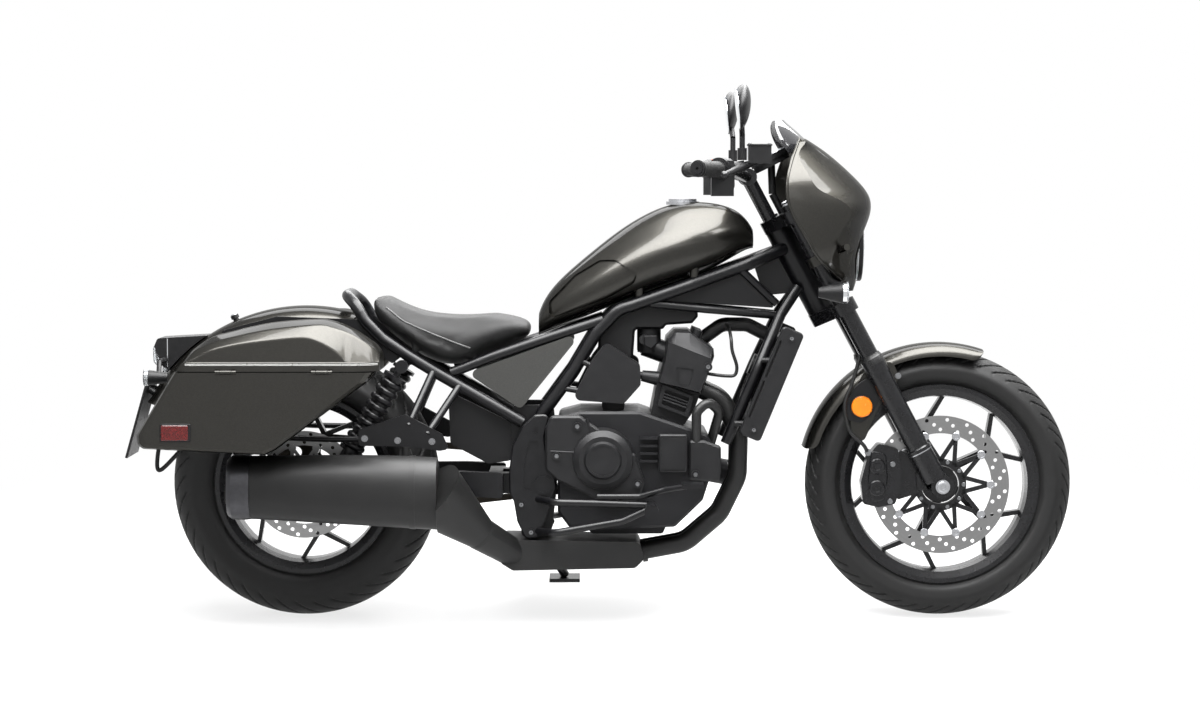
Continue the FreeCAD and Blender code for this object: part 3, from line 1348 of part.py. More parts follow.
def largest(shape):
    """The biggest solid that a cut leaves."""
    return max(shape.Solids, key=lambda solid: solid.Volume)


def build_frame_covers():
    """Triangular infill panels at the steering head and the battery box covers, fitted between the tubes."""
    covers = []
    for side in (-1, 1):
        corners = [headed(846, side * 107, 762), headed(1042, side * 73, 834), headed(1124, side * 58, 742)]
        panel = flat_plate(corners, 5.0, 3.0)
        for tube_shape in (main_rail(side, SEAT_FIT), cross_tube(side, SEAT_FIT), head_brace(side, SEAT_FIT)):
            panel = panel.cut(tube_shape)
        covers.append(largest(panel))
        box_cover = side_plate([(345, 545), (497 - SEAT_FIT, 470), (497 - SEAT_FIT, 380), (440, 372), (350, 420)],
                               side * (PIVOT_IN - 3.0), side * (PIVOT_OUT - 2.0), 10.0)
        box_cover = box_cover.cut(seat_loop(SEAT_FIT))
        covers.append(largest(box_cover))
    return Part.makeCompound(covers)


def build_airbox_covers():
    outline = [(721, 664), (801, 612), (803, 563), (763, 518), (640, 527), (688, 622)]
    covers = []
    for side in (-1, 1):
        plate = side_plate(outline, side * 112, side * 142, 14.0)
        bolts = [rod(V(x, side * 120, z), V(x - 50, side * 116, z + dz), 7.0)
                 for x, z, dz in ((700, 600, 24), (672, 545, 8))]
        covers.append(largest(join(plate, *bolts).cut(main_rail(side, SEAT_FIT))))
    return Part.makeCompound(covers)


# Engine

def deck_at(share):
    """A point of the deck line between its rear and front ends."""
    return (DECK_REAR[0] + (DECK_FRONT[0] - DECK_REAR[0]) * share,
            DECK_REAR[1] + (DECK_FRONT[1] - DECK_REAR[1]) * share)


def build_crankcase():
    """Cases with chamfered sides, the sprocket pocket and its wheel, starter, oil filter, sump and side ribs."""
    outline = [(606, 486), (660, 500), DECK_REAR, DECK_FRONT, (985, 400), (950, 290), (884, 226), (640, 216),
               (606, 262)]
    case = two_faced(outline, ENGINE_Y, 14.0)
    pocket_end = DRIVE_X + DRIVE_R + CHAIN_HALF + 6.0
    pocket = block((590, pocket_end), (96, ENGINE_Y + 1), (236, 424))
    shaft = cross_rod(DRIVE_X, DRIVE_Z, 12.0, 90, CHAIN_Y + 12)
    wheel = moved(toothed(DRIVE_R, DRIVE_TEETH, LINK_IN - SEAT_FIT), V(DRIVE_X, CHAIN_Y, DRIVE_Z))
    starter = join(cross_rod(738, 512, 27.0, -84, 70), cross_rod(738, 512, 17.0, -96, 84))
    oil_filter = join(rod(V(950, 62, 350), V(1012, 62, 338), 31.0), rod(V(1012, 62, 338), V(1020, 62, 336.5), 20.0))
    sump = side_plate([(668, 224), (868, 230), (856, 204), (688, 204)], -92, 92, 8.0)
    ribs = []
    for z in (384.0, 402.0, 420.0, 438.0):
        ribs.append(side_plate([(801, z - RIB_HALF), (843, z - RIB_HALF), (843, z + RIB_HALF), (801, z + RIB_HALF)],
                               -ENGINE_Y + 1, -ENGINE_Y - 16, 1.5))
    return join(case.cut(pocket), shaft, wheel, starter, oil_filter, sump, *ribs)


def throttle_bodies():
    """The two intake pipes behind the head, their bodies under the airbox and the fuel joint on the near side."""
    parts = []
    for side in (-1, 1):
        y = side * INTAKE_Y
        parts.append(rod(V(872, y, 630), V(812, y, 652), INTAKE_R))
        parts.append(rod(V(824, y, 636), V(824, y, 692 - SEAT_FIT), INTAKE_R + 3.0))
    parts.append(cross_rod(812, 668, 12.0, -98, 98))
    cover = crowned([(810, 678), (842, 678), (844, 660), (828, 646), (812, 654)], -90, -106, 2.5, 5.0)
    barb = [taper(V(862, -92, 572), V(806, -94, 582), 19.0, 13.0),
            taper(V(806, -94, 582), V(757, -96, 599), 9.0, 4.0)]
    return parts + [cover] + barb


def cam_drive_window(side):
    """The ribbed frame on the barrel's flank: a raised border round three slanted bars."""
    border = [(854.9, 563.5), (928.6, 534.5), (915.5, 484.5), (841.8, 513.5)]
    middle = V(sum(x for x, z in border) / 4, 0, sum(z for x, z in border) / 4)
    hole = [(middle.x + (x - middle.x) * 0.76, middle.z + (z - middle.z) * 0.7) for x, z in border]
    frame = side_plate(border, side * (BARREL_Y - 4.0), side * (HEAD_IN + 4.0), 4.0)
    frame = frame.cut(side_plate(hole, side * (HEAD_IN - 10.0), side * (HEAD_IN + 6.0), 3.0))
    bars = []
    for share in (0.3, 0.5, 0.7):
        start = (hole[0][0] + (hole[3][0] - hole[0][0]) * share, hole[0][1] + (hole[3][1] - hole[0][1]) * share)
        stop = (hole[1][0] + (hole[2][0] - hole[1][0]) * share, hole[1][1] + (hole[2][1] - hole[1][1]) * share)
        bars.append(rod(V(start[0], side * HEAD_IN, start[1]), V(stop[0], side * HEAD_IN, stop[1]), 3.0))
    return [frame] + bars


def build_cylinder_head():
    """Forward-leaning barrels and head: faceted side covers, the ribbed windows and the intake behind."""
    barrel = side_plate([deck_at(0.17), deck_at(0.66), (930, 500), (946, 545), (842, 568)], -BARREL_Y,
                        BARREL_Y, 6.0)
    head = side_plate(HEAD_RIM, -HEAD_IN, HEAD_IN, 6.0)
    parts = [barrel, head]
    for side in (-1, 1):
        cover = facing_rings(HEAD_RIM, HEAD_FACE, side * (HEAD_IN - 2.0), side * HEAD_OUT)
        pocket = side_plate([(886, 606), (930, 600), (918, 560), (892, 563)], side * (HEAD_OUT - 3.0),
                            side * (HEAD_OUT + 3.0), 4.0)
        parts.append(cover.cut(pocket))
        parts += cam_drive_window(side)
        parts.append(screw_boss(962, 606, BOSS_R, side * (HEAD_IN - 2.0), side * (HEAD_OUT + 3.0)))
        for y in (30.0, 78.0):
            parts.append(rod(V(930, side * y, 664), V(940, side * y, 690), 12.0))
    parts += throttle_bodies()
    return join(*parts).cut(block((500, 1200), (-300, 300), (200, 440)))


def build_clutch_cover():
    """Right-hand cover: a stepped clutch dome on its lobe, two ribs, screw bosses, the coil box and the pump."""
    x, z = CLUTCH_CENTRE
    y = -ENGINE_Y - TYRE_FIT
    lobe = crowned([(577, 462), (590, 492), (660, 492), (690, 470), (790, 400), (812, 336), (800, 292), (720, 284),
                    (606, 338), (577, 364)], y, y - 28, COVER_BEVEL, 14.0)
    dome = [taper(V(x, y, z), V(x, y - 36, z), CLUTCH_R + 5.0, CLUTCH_R), taper(V(x, y - 36, z), V(x, y - 46, z),
                                                                               CLUTCH_R, CLUTCH_R - 14.0)]
    cap = taper(V(x, y - 46, z), V(x, y - 54, z), CAP_STEP_R + 5.0, CAP_STEP_R)
    dish = cross_rod(x, z, CAP_STEP_R - 5.0, y - 52, y - 60)
    ribs = [rod(V(x - 46, y - 26, z + 16), V(590, y - 26, z + 20), RIB_HALF),
            rod(V(x - 26, y - 26, z + 50), V(676, y - 26, 486), RIB_HALF)]
    bosses = [screw_boss(bx, bz, BOSS_R, y, y - 34) for bx, bz in ((653, 467), (604, 397), (795, 331), (748, 298))]
    box = crowned([(845, 448), (912, 448), (912, 359), (845, 359)], y, y - 30, 3.0, 6.0)
    step = side_plate([(852, 441), (905, 441), (905, 366), (852, 366)], y - 30, y - 33, 4.0)
    pump = crowned([(916, 433.4), (952, 433.4), (992, 418.7), (992, 361), (989, 334), (916, 340)], y, y - 24,
                   COVER_BEVEL, 8.0)
    foot = screw_boss(932, 353, BOSS_R, y, y - 30)
    return join(lobe, *dome, cap, *ribs, *bosses, box, step, pump, foot).cut(dish)


def build_airbox():
    """The air cleaner's case between the rails, on top of the throttle bodies."""
    outline = [(700, 620), (705, 705), (760, 742), (880, 780), (935, 786), (940, 722), (926, 706), (864, 702),
               (856, 692), (790, 692), (785, 620)]
    case = two_faced(outline, AIRBOX_Y, 8.0)
    band = side_plate([(704, 696), (762, 733), (880, 771), (912, 775), (912, 769), (880, 765), (764, 727),
                       (706, 690)], -AIRBOX_Y - 1.5, AIRBOX_Y + 1.5, 1.5)
    return join(case, band)


def build_generator_cover():
    """Left-hand cover: a stepped generator dome ringed by screw bosses, and the ribbed sprocket cover."""
    x, z = GENERATOR_CENTRE
    y = ENGINE_Y + TYRE_FIT
    dome = [taper(V(x, y, z), V(x, y + 28, z), GENERATOR_R + 4.0, GENERATOR_R),
            taper(V(x, y + 28, z), V(x, y + 36, z), GENERATOR_R, GENERATOR_R - 12.0),
            taper(V(x, y + 36, z), V(x, y + 42, z), 50.0, 46.0)]
    bosses = []
    for number in range(6):
        spot = polar(GENERATOR_R, 30.0 + 60.0 * number) + V(x, 0, z)
        bosses.append(screw_boss(spot.x, spot.z, BOSS_R, y, y + 24))
    sprocket_cover = crowned([(602, 400), (760, 410), (800, 330), (740, 250), (620, 250)], y, y + 22,
                             COVER_BEVEL, 18.0)
    ribs = [rod(V(630, y + 21, z_rib), V(740, y + 21, z_rib + 8.0), RIB_HALF) for z_rib in (290.0, 320.0, 350.0)]
    return join(*dome, *bosses, sprocket_cover, *ribs)


def radiator_outline(half_depth, extend):
    top = headed(RADIATOR_TOP[0], 0, RADIATOR_TOP[1])
    foot = headed(RADIATOR_FOOT[0], 0, RADIATOR_FOOT[1])
    along = top - foot
    along.normalize()
    square = V(along.z, 0, -along.x)
    return [foot - along * extend - square * half_depth, foot - along * extend + square * half_depth,
            top + along * extend + square * half_depth, top + along * extend - square * half_depth]


def build_radiator():
    """Core between two side tanks, on four ears that reach back to the down tubes."""
    core = point_plate(radiator_outline(13.0, -16.0), -132, 132, 2.0)
    parts = [core]
    for side in (-1, 1):
        parts.append(point_plate(radiator_outline(20.0, -10.0), side * 120, side * 142, 4.0))
        for z, x_tube in ((620.0, 1090.0), (470.0, 1026.0)):
            parts.append(rod(headed(x_tube, side * 122, z), headed(x_tube + 40, side * 126, z), 7.0))
    parts += radiator_fan()
    body = join(*parts)
    for side in (-1, 1):
        body = body.cut(down_tube(side, SEAT_FIT))
    return largest(body)


def radiator_fan():
    """The fan's round shroud behind the core, its motor and the three arms that carry it."""
    top = headed(RADIATOR_TOP[0], 0, RADIATOR_TOP[1])
    foot = headed(RADIATOR_FOOT[0], 0, RADIATOR_FOOT[1])
    along = top - foot
    along.normalize()
    back = V(-along.z, 0, along.x)
    centre = foot + (top - foot) * 0.58 + back * 12.0
    ring = rod(centre, centre + back * FAN_DEPTH, FAN_R).cut(rod(centre + back, centre + back * 60, FAN_R - 5.0))
    motor = rod(centre, centre + back * (FAN_DEPTH + 8.0), 26.0)
    arms = []
    for number in range(3):
        reach = along * math.cos(number * 2.0944) + V(0, math.sin(number * 2.0944), 0)
        arms.append(rod(centre + back * 22, centre + back * 22 + reach * (FAN_R - 1.0), 6.0))
    return [ring, motor] + arms


def build_radiator_shrouds():
    """Side guards of the radiator: chamfered plates with two slits along the rear edge and two screw bosses."""
    outline = [(point.x, point.z) for point in radiator_outline(27.0, 8.0)]
    plate = crowned(outline, 142 + TYRE_FIT, 160, 3.0, 10.0)
    top = headed(RADIATOR_TOP[0], 0, RADIATOR_TOP[1])
    foot = headed(RADIATOR_FOOT[0], 0, RADIATOR_FOOT[1])
    along = top - foot
    along.normalize()
    square = V(along.z, 0, -along.x)
    for start, stop in ((0.14, 0.5), (0.54, 0.9)):
        low = foot + (top - foot) * start - square * 19
        high = foot + (top - foot) * stop - square * 19
        slit = [low - square * 2.5, low + square * 2.5, high + square * 2.5, high - square * 2.5]
        plate = plate.cut(point_plate(slit, 150, 164, 1.5))
    for share in (0.05, 0.95):
        spot = foot + (top - foot) * share + square * 3
        plate = join(plate, screw_boss(spot.x, spot.z, 8.0, 150, 163))
    return pair(plate)


def build_coolant_hoses(radiator, cylinder_head, clutch_cover, crankcase):
    """The top hose from the head to the radiator, and the lower one that loops from the pump into the case."""
    top = tube([headed(1131, 0, 664), headed(1060, 0, 700), headed(1000, 0, 700), V(944, 0, 660)], HOSE_R, 40.0)
    low = tube([V(934, -163, 430), V(934, -163, 500), V(962, -158, 526), V(990, -142, 500), V(968, -114, 420)],
               LOWER_HOSE_R, 24.0)
    hoses = []
    for hose in (top, low):
        hoses.append(largest(hose.cut(Part.makeCompound([radiator, cylinder_head, clutch_cover, crankcase]))))
    return Part.makeCompound(hoses)


# Exhaust


def build_exhaust(crankcase, cylinder_head):
    """Two header pipes into a box below the engine, and the link pipe up to the muffler."""
    pipes = []
    for y in HEADER_Y:
        path = [V(930, y, 556), V(1000, y, 524), V(1038, y, 440), V(1036, y, 340), V(992, y, 250), V(910, y, 180),
                V(790, y, 158)]
        pipes.append(tube(path, HEADER_R, 70.0))
    box = side_plate(CHAMBER, -150, 60, 14.0)
    front = V(MUFFLER_SECTIONS[0][0], -MUFFLER_Y, MUFFLER_SECTIONS[0][1])
    elbow = taper(V(505, -118, 158), V(424, -196, 216), 34.0, 40.0)
    cone = taper(V(424, -196, 216), V(316, -MUFFLER_Y, 317), 40.0, MUFFLER_SECTIONS[0][2] - 2.0)
    knuckle = Part.makeSphere(40.0, V(424, -196, 216))
    link = join(elbow, knuckle, cone).cut(block((100, front.x + SEAT_FIT), (-400, 0), (100, 500)))
    clamp = rod(V(806, -70, 159), V(818, -70, 161), HEADER_R + 4.0)
    return join(box, link, clamp, *pipes).cut(crankcase).cut(cylinder_head)


def oval_loft(sections, grow=0.0, ruled=False):
    rings = [oval(V(x, -MUFFLER_Y, z), half_y + grow, half_z + grow, 2.3) for x, z, half_z, half_y in sections]
    return Part.makeLoft(rings, True, ruled)


def build_muffler():
    """Oval silencer that slims towards the tail: clamp band, seamed tail cap, open outlet and hanger."""
    shell = oval_loft(MUFFLER_SECTIONS)
    cap = oval_loft(MUFFLER_TAIL, 0.0, True)
    neck = oval_loft([(x, z, half_z - 4.0, half_y - 4.0) for x, z, half_z, half_y in (MUFFLER_SECTIONS[-1],
                                                                                    MUFFLER_TAIL[0])], 0.0, True)
    band = oval_loft([(x, z, half_z, half_y) for x, z, half_z, half_y in ((276.0, 319.0, 84.0, 62.0),
                                                                         (262.0, 319.5, 83.6, 62.0))], 1.6, True)
    hang = rod(V(250, -208, 350), V(250, -208, 421.7), 10.0)
    lug = side_plate([(232, 392), (268, 392), (262, 416), (238, 416)], -203.0, -213.0, 6.0)
    outlet = rod(V(-90, -MUFFLER_Y - 10, 322), V(-170, -MUFFLER_Y - 10, 322), OUTLET_R)
    lip = rod(V(-156, -MUFFLER_Y - 10, 322), V(-166, -MUFFLER_Y - 10, 322), OUTLET_R + 3.0)
    return join(shell, neck, cap, band, hang, lug, lip).cut(outlet)


# Footrests and controls


def pivot_casting(side):
    """The footrest's casting over the swingarm pivot: a curved plate with a sunk web, a cap and two screws."""
    plate = crowned(PIVOT_CASTING, side * REST_IN, side * REST_OUT, 3.0, 14.0)
    plate = plate.cut(side_plate(CASTING_RECESS, side * (REST_OUT - 4.0), side * (REST_OUT + 2.0), 4.0))
    cap = cross_rod(573, 326, 22.0, side * REST_IN, side * (REST_OUT + 3.0))
    rim = cross_rod(573, 326, 17.0, side * (REST_OUT + 1.5), side * (REST_OUT + 5.0))
    screws = [screw_boss(x, z, 9.0, side * REST_IN, side * (REST_OUT + 3.0)) for x, z in ((520, 279), (543, 213))]
    return join(plate, cap, *screws).cut(rim)


def build_footrests():
    """Base plates on the frame's pivot plates, two bent tubes each and the pegs."""
    rests = []
    for side in (-1, 1):
        base = pivot_casting(side)
        bosses = [cross_rod(550, z, 11.0, side * (PIVOT_OUT + SEAT_FIT), side * REST_OUT) for z in (440.0, 226.0)]
        upper = tube([V(560, side * 145, 292), V(600, side * TUBE_Y, 290), V(700, side * TUBE_Y, 288),
                      V(820, side * TUBE_Y, 284)], REST_TUBE_R, 30.0)
        lower = tube([V(560, side * 145, 216), V(600, side * TUBE_Y, 218), V(760, side * TUBE_Y, 246),
                      V(820, side * TUBE_Y, 274)], REST_TUBE_R, 30.0)
        peg = rod(V(826, side * (TUBE_Y - 9), 279), V(826, side * 320, 279), 14.0)
        knob = rod(V(826, side * 320, 279), V(826, side * 330, 279), 17.0)
        rest = join(base, upper, lower, peg, knob, *bosses).cut(main_rail(side, SEAT_FIT))
        rests.append(largest(rest))
    return Part.makeCompound(rests)


def build_foot_controls():
    """Brake pedal on the right and shift lever on the left, lying on the footrest tubes."""
    low = 288 + REST_TUBE_R + 7.0 + SEAT_FIT
    arms = []
    for side in (-1, 1):
        arms.append(tube([V(700, side * TUBE_Y, low), V(800, side * TUBE_Y, low), V(860, side * 222, low + 18),
                          V(918, side * 256, 334)], 7.0, 20.0))
    pad = block((898, 948), (-300, -240), (330, 342))
    toe = rod(V(918, 226, 336), V(918, 292, 336), 10.0)
    return Part.makeCompound([join(arms[0], pad), join(arms[1], toe)])


def chain_loop(offset):
    """The chain's side line round both sprockets, offset from the pitch line."""
    rear_r = SPROCKET_R + offset
    drive_r = DRIVE_R + offset
    start = REAR_AXLE
    end = V(DRIVE_X, 0, DRIVE_Z)
    span = end - start
    lean = math.asin((rear_r - drive_r) / span.Length)
    base = math.atan2(span.z, span.x)
    points = {}
    for name, sign in (("top", 1), ("low", -1)):
        angle = base + sign * (math.pi / 2 - lean)
        direction = V(math.cos(angle), 0, math.sin(angle))
        points[name] = (start + direction * rear_r, end + direction * drive_r)
    rear_back = start - V(math.cos(base), 0, math.sin(base)) * rear_r
    drive_front = end + V(math.cos(base), 0, math.sin(base)) * drive_r
    edges = [
        Part.makeLine(points["top"][0], points["top"][1]),
        Part.Arc(points["top"][1], drive_front, points["low"][1]).toShape(),
        Part.makeLine(points["low"][1], points["low"][0]),
        Part.Arc(points["low"][0], rear_back, points["top"][0]).toShape(),
    ]
    return Part.Face(Part.Wire(edges)), points


def build_drive_chain():
    """One closed chain: two rows of side plates round the sprockets, with rollers on the straight runs."""
    outer = chain_loop(CHAIN_HALF)[0]
    inner = chain_loop(-CHAIN_HALF)[0]
    band = outer.cut(inner)
    rows = []
    for low in (CHAIN_Y - LINK_OUT, CHAIN_Y + LINK_IN):
        row = band.extrude(V(0, LINK_OUT - LINK_IN, 0))
        row.translate(V(0, low, 0))
        rows.append(row)
    line = chain_loop(0.0)[1]
    pins = []
    clear = math.sqrt(2 * SPROCKET_R * (TOOTH_TIP + ROLLER_R + 2.0)) + ROLLER_R
    for name in ("top", "low"):
        start, end = line[name]
        along = end - start
        length = along.Length
        along.normalize()
        count = int((length - clear) / (3 * CHAIN_PITCH))
        for number in range(count):
            centre = start + along * (clear + 3 * CHAIN_PITCH * number)
            pins.append(rod(centre + V(0, CHAIN_Y - LINK_OUT, 0), centre + V(0, CHAIN_Y + LINK_OUT, 0), ROLLER_R))
    return join(*rows, *pins)


def build_rear_caliper():
    centre = REAR_AXLE
    outline = [(centre.x + 70, centre.z + 66), (centre.x + 128, centre.z + 76), (centre.x + 140, centre.z + 10),
               (centre.x + 92, centre.z + 6)]
    body = side_plate(outline, -REAR_DISC_Y - 24, -REAR_DISC_Y + 14, 6.0)
    slot = moved(rod(V(0, -REAR_DISC_Y - DISC_THICK / 2 - PAD_GAP, 0),
                     V(0, -REAR_DISC_Y + DISC_THICK / 2 + PAD_GAP, 0), REAR_DISC_R + 5.0), centre)
    return body.cut(slot)


# Side stand

def lean_down(point):
    """A point on the ground under the leaning bike, given as it parks, in the upright frame."""
    cosine = math.cos(LEAN)
    sine = math.sin(LEAN)
    lifted = point.z - crown_drop(FRONT_CROWN_R)
    return V(point.x, point.y * cosine - lifted * sine, point.y * sine + lifted * cosine)


def stand_axis():
    return V(0, math.cos(STAND_TILT), math.sin(STAND_TILT))


def stand_lug():
    """The frame's bracket for the side stand: a disc inboard of the stand's eye with the pivot bolt."""
    pivot = V(*STAND_PIVOT)
    axis = stand_axis()
    disc = rod(pivot - axis * 30, pivot - axis * (12 + RUN_GAP), STAND_EYE_R)
    bolt = rod(pivot - axis * 20, pivot + axis * 18, STAND_PIN_R)
    head = rod(pivot + axis * (12 + RUN_GAP), pivot + axis * 19, STAND_PIN_R + 5.0)
    arm = rod(pivot - axis * 29, V(584, PIVOT_OUT - 4.0, 216), 12.0)
    return join(disc, bolt, head, arm)


def build_side_stand():
    """Leg down to a flat foot that lies on the ground as the bike leans."""
    pivot = V(*STAND_PIVOT)
    axis = stand_axis()
    foot = lean_down(V(STAND_FOOT_X, STAND_REACH, 14.0))
    leg = rod(pivot, foot, STAND_TUBE_R)
    leg = leg.cut(rod(pivot - axis * 60, pivot - axis * 11, 60.0))
    leg = leg.cut(rod(pivot + axis * 11, pivot + axis * 40, 16.0))
    eye = rod(pivot - axis * 12, pivot + axis * 12, STAND_EYE_R)
    pad = block((-38, 38), (-26, 26), (0, 9))
    pad.rotate(V(0, 0, 0), V(1, 0, 0), math.degrees(LEAN))
    pad.translate(lean_down(V(STAND_FOOT_X, STAND_REACH, 0.0)))
    return join(leg, eye, pad).cut(rod(pivot - axis * 30, pivot + axis * 30, STAND_PIN_R + RUN_FIT))


def parked(shape):
    """Lean the upright model to its left about the ground line and set the tyres on the ground."""
    copy = shape.copy()
    copy.rotate(V(0, 0, 0), V(1, 0, 0), -math.degrees(LEAN))
    copy.translate(V(0, 0, crown_drop(FRONT_CROWN_R)))
    return copy


def footprint_centre(shapes):
    """Middle of the assembly's plan box on the ground, from each shape's tight bounds."""
    boxes = [shape.optimalBoundingBox(False, False) for shape in shapes]
    middle_x = (min(box.XMin for box in boxes) + max(box.XMax for box in boxes)) / 2
    middle_y = (min(box.YMin for box in boxes) + max(box.YMax for box in boxes)) / 2
    return V(middle_x, middle_y, 0)


def build_all():
    frame_main = build_frame_main()
    tank = build_fuel_tank()
    fairing = build_fairing()
    crankcase = build_crankcase()
    cylinder_head = build_cylinder_head()
    clutch_cover = build_clutch_cover()
    radiator = build_radiator()
    nodes = {
        "frame_main": frame_main,
        "frame_rear": build_frame_rear(frame_main),
        "swingarm": build_swingarm(),
        "rear_shocks": build_rear_shocks(),
        "rear_fender": build_rear_fender(),
        "tail_lamp": build_tail_lamp(),
        "rear_signals": build_rear_signals(),
        "plate_bracket": build_plate_bracket(),
        "bag_right": bag_body(-1),
        "bag_left": bag_body(1),
        "lid_right": bag_lid(-1),
        "lid_left": bag_lid(1),
        "bag_stays": build_bag_stays(),
        "seat": build_seat(),
        "fuel_tank": tank,
        "fuel_cap": build_fuel_cap(top_of(tank)),
        "side_covers": build_side_covers(),
        "frame_covers": build_frame_covers(),
        "airbox_covers": build_airbox_covers(),
        "airbox": build_airbox(),
        "crankcase": crankcase,
        "cylinder_head": cylinder_head,
        "clutch_cover": clutch_cover,
        "generator_cover": build_generator_cover(),
        "radiator": radiator,
        "radiator_shrouds": build_radiator_shrouds(),
        "coolant_hoses": build_coolant_hoses(radiator, cylinder_head, clutch_cover, crankcase),
        "exhaust": build_exhaust(crankcase, cylinder_head),
        "muffler": build_muffler(),
        "rear_caliper": build_rear_caliper(),
        "footrests": build_footrests(),
        "foot_controls": build_foot_controls(),
        "drive_chain": build_drive_chain(),
        "side_stand": build_side_stand(),
        "yokes": build_yokes(),
        "fork_legs": build_fork_legs(),
        "front_axle": build_front_axle(),
        "handlebar": build_handlebar(),
        "handlebar_controls": build_controls(),
        "mirrors": build_mirrors(),
        "fairing": fairing,
        "windscreen": build_windscreen(fairing),
        "headlamp": build_headlamp(),
        "front_signals": build_front_signals(),
        "instrument": build_instrument(),
        "front_fender": build_front_fender(),
        "front_caliper": build_front_caliper(),
    }
    nodes.update(build_front_wheel())
    nodes.update(build_rear_wheel())
    return nodes


UPRIGHT = build_all()
PARKED = {name: parked(shape) for name, shape in UPRIGHT.items()}
ORIGIN = footprint_centre(PARKED.values())

os.makedirs("parts", exist_ok=True)
for name, shape in PARKED.items():
    shape.translate(V(0, 0, 0) - ORIGIN)
    shape.exportStep("parts/" + name + ".step")
    solids = len(shape.Solids)
    print(name, "solids", solids, "valid", shape.isValid(), "litres", round(shape.Volume / 1e6, 3))
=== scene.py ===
"""Looks of a touring cruiser motorcycle that leans on its side stand.

Every piece is drawn on the upright bike: x forward from the rear axle, y to the rider's left, z up from the
ground, in millimetres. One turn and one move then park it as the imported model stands.
"""
from __future__ import annotations

import json
import logging
import math
from dataclasses import dataclass, field
from enum import Enum

import bmesh
import bpy
import numpy as np
from mathutils import Matrix, Vector


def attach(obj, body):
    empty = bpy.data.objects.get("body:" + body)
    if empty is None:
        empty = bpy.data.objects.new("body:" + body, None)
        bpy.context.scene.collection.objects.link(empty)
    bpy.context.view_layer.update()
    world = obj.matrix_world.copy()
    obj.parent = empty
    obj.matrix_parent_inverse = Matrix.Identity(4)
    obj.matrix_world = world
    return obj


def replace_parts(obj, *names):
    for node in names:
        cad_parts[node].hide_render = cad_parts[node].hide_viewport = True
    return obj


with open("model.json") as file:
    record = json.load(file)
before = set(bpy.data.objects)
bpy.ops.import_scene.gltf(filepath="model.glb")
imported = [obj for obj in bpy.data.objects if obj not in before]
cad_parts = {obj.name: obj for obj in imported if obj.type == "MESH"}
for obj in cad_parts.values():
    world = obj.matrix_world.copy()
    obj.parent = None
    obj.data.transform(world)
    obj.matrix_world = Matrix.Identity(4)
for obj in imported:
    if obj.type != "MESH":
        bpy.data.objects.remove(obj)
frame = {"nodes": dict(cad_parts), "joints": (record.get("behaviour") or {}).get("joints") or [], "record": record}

LOG = logging.getLogger("motorcycle")
MM = 0.001

Pair = tuple[float, float]
Point = tuple[float, float, float]

# Directions of the upright bike.
AHEAD = (1.0, 0.0, 0.0)
BEHIND = (-1.0, 0.0, 0.0)
LEFT = (0.0, 1.0, 0.0)
RIGHT = (0.0, -1.0, 0.0)
UP = (0.0, 0.0, 1.0)
ORIGIN = (0.0, 0.0, 0.0)

# Where the wheels turn, in mm.
WHEELBASE = 1520.0
FRONT_AXLE_HEIGHT = 319.6
REAR_AXLE_HEIGHT = 320.558


# Place of the bike

@dataclass(frozen=True)
class Parking:
    """Takes points of the upright bike to where it is parked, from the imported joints."""

    lean: float
    rear_axle: np.ndarray
    upright_axle: np.ndarray

    @classmethod
    def from_joints(cls, joints: list[dict], axle_height: float) -> Parking:
        """Reads the lean and the rear axle's place from the rear wheel's joint.

        Args:
            joints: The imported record's joints.
            axle_height: Height of the rear axle on the upright bike, in mm.

        Returns:
            The parking move.
        """
        wheel = next(joint for joint in joints if joint["name"] == "rear_wheel_spin")
        axis = wheel["axis"]
        sign = 1.0 if axis[1] > 0 else -1.0
        lean = math.atan2(-sign * axis[2], sign * axis[1])
        return cls(lean, np.array(wheel["pos_m"], float), np.array([0.0, 0.0, axle_height]))

    @property
    def turn(self) -> np.ndarray:
        """The lean as a 3 by 3 matrix about x."""
        cosine = math.cos(self.lean)
        sine = math.sin(self.lean)
        return np.array([[1.0, 0.0, 0.0], [0.0, cosine, sine], [0.0, -sine, cosine]])

    def place(self, points: np.ndarray) -> np.ndarray:
        """Moves upright points in mm to the parked bike in metres.

        Args:
            points: Array whose last axis is x, y, z.

        Returns:
            The same array of points, parked.
        """
        return (np.asarray(points, float) - self.upright_axle) * MM @ self.turn.T + self.rear_axle


PARKING = Parking.from_joints(frame["joints"], REAR_AXLE_HEIGHT)


class Body(Enum):
    """The bodies that new pieces ride on."""

    CHASSIS = "chassis"
    STEERING = "steering"
    FRONT_WHEEL = "front_wheel"
    REAR_WHEEL = "rear_wheel"
    LID_RIGHT = "lid_right"
    LID_LEFT = "lid_left"


# Surfaces

@dataclass
class Surface:
    """Points of the upright bike in mm and the faces between them."""

    points: np.ndarray
    faces: list[tuple[int, ...]]

    def __add__(self, other: Surface) -> Surface:
        """Both surfaces as one."""
        shift = len(self.points)
        moved = [tuple(index + shift for index in face) for face in other.faces]
        return Surface(np.vstack([self.points, other.points]), self.faces + moved)

    def mirrored(self) -> Surface:
        """The surface on the bike's other side, its faces turned back outwards."""
        return Surface(self.points * np.array([1.0, -1.0, 1.0]), [face[::-1] for face in self.faces])

    def moved(self, shift: Point) -> Surface:
        """The surface moved by a shift in mm."""
        return Surface(self.points + np.array(shift), self.faces)


def together(parts: list[Surface]) -> Surface:
    """All parts as one surface, in their order."""
    whole = parts[0]
    for part in parts[1:]:
        whole = whole + part
    return whole


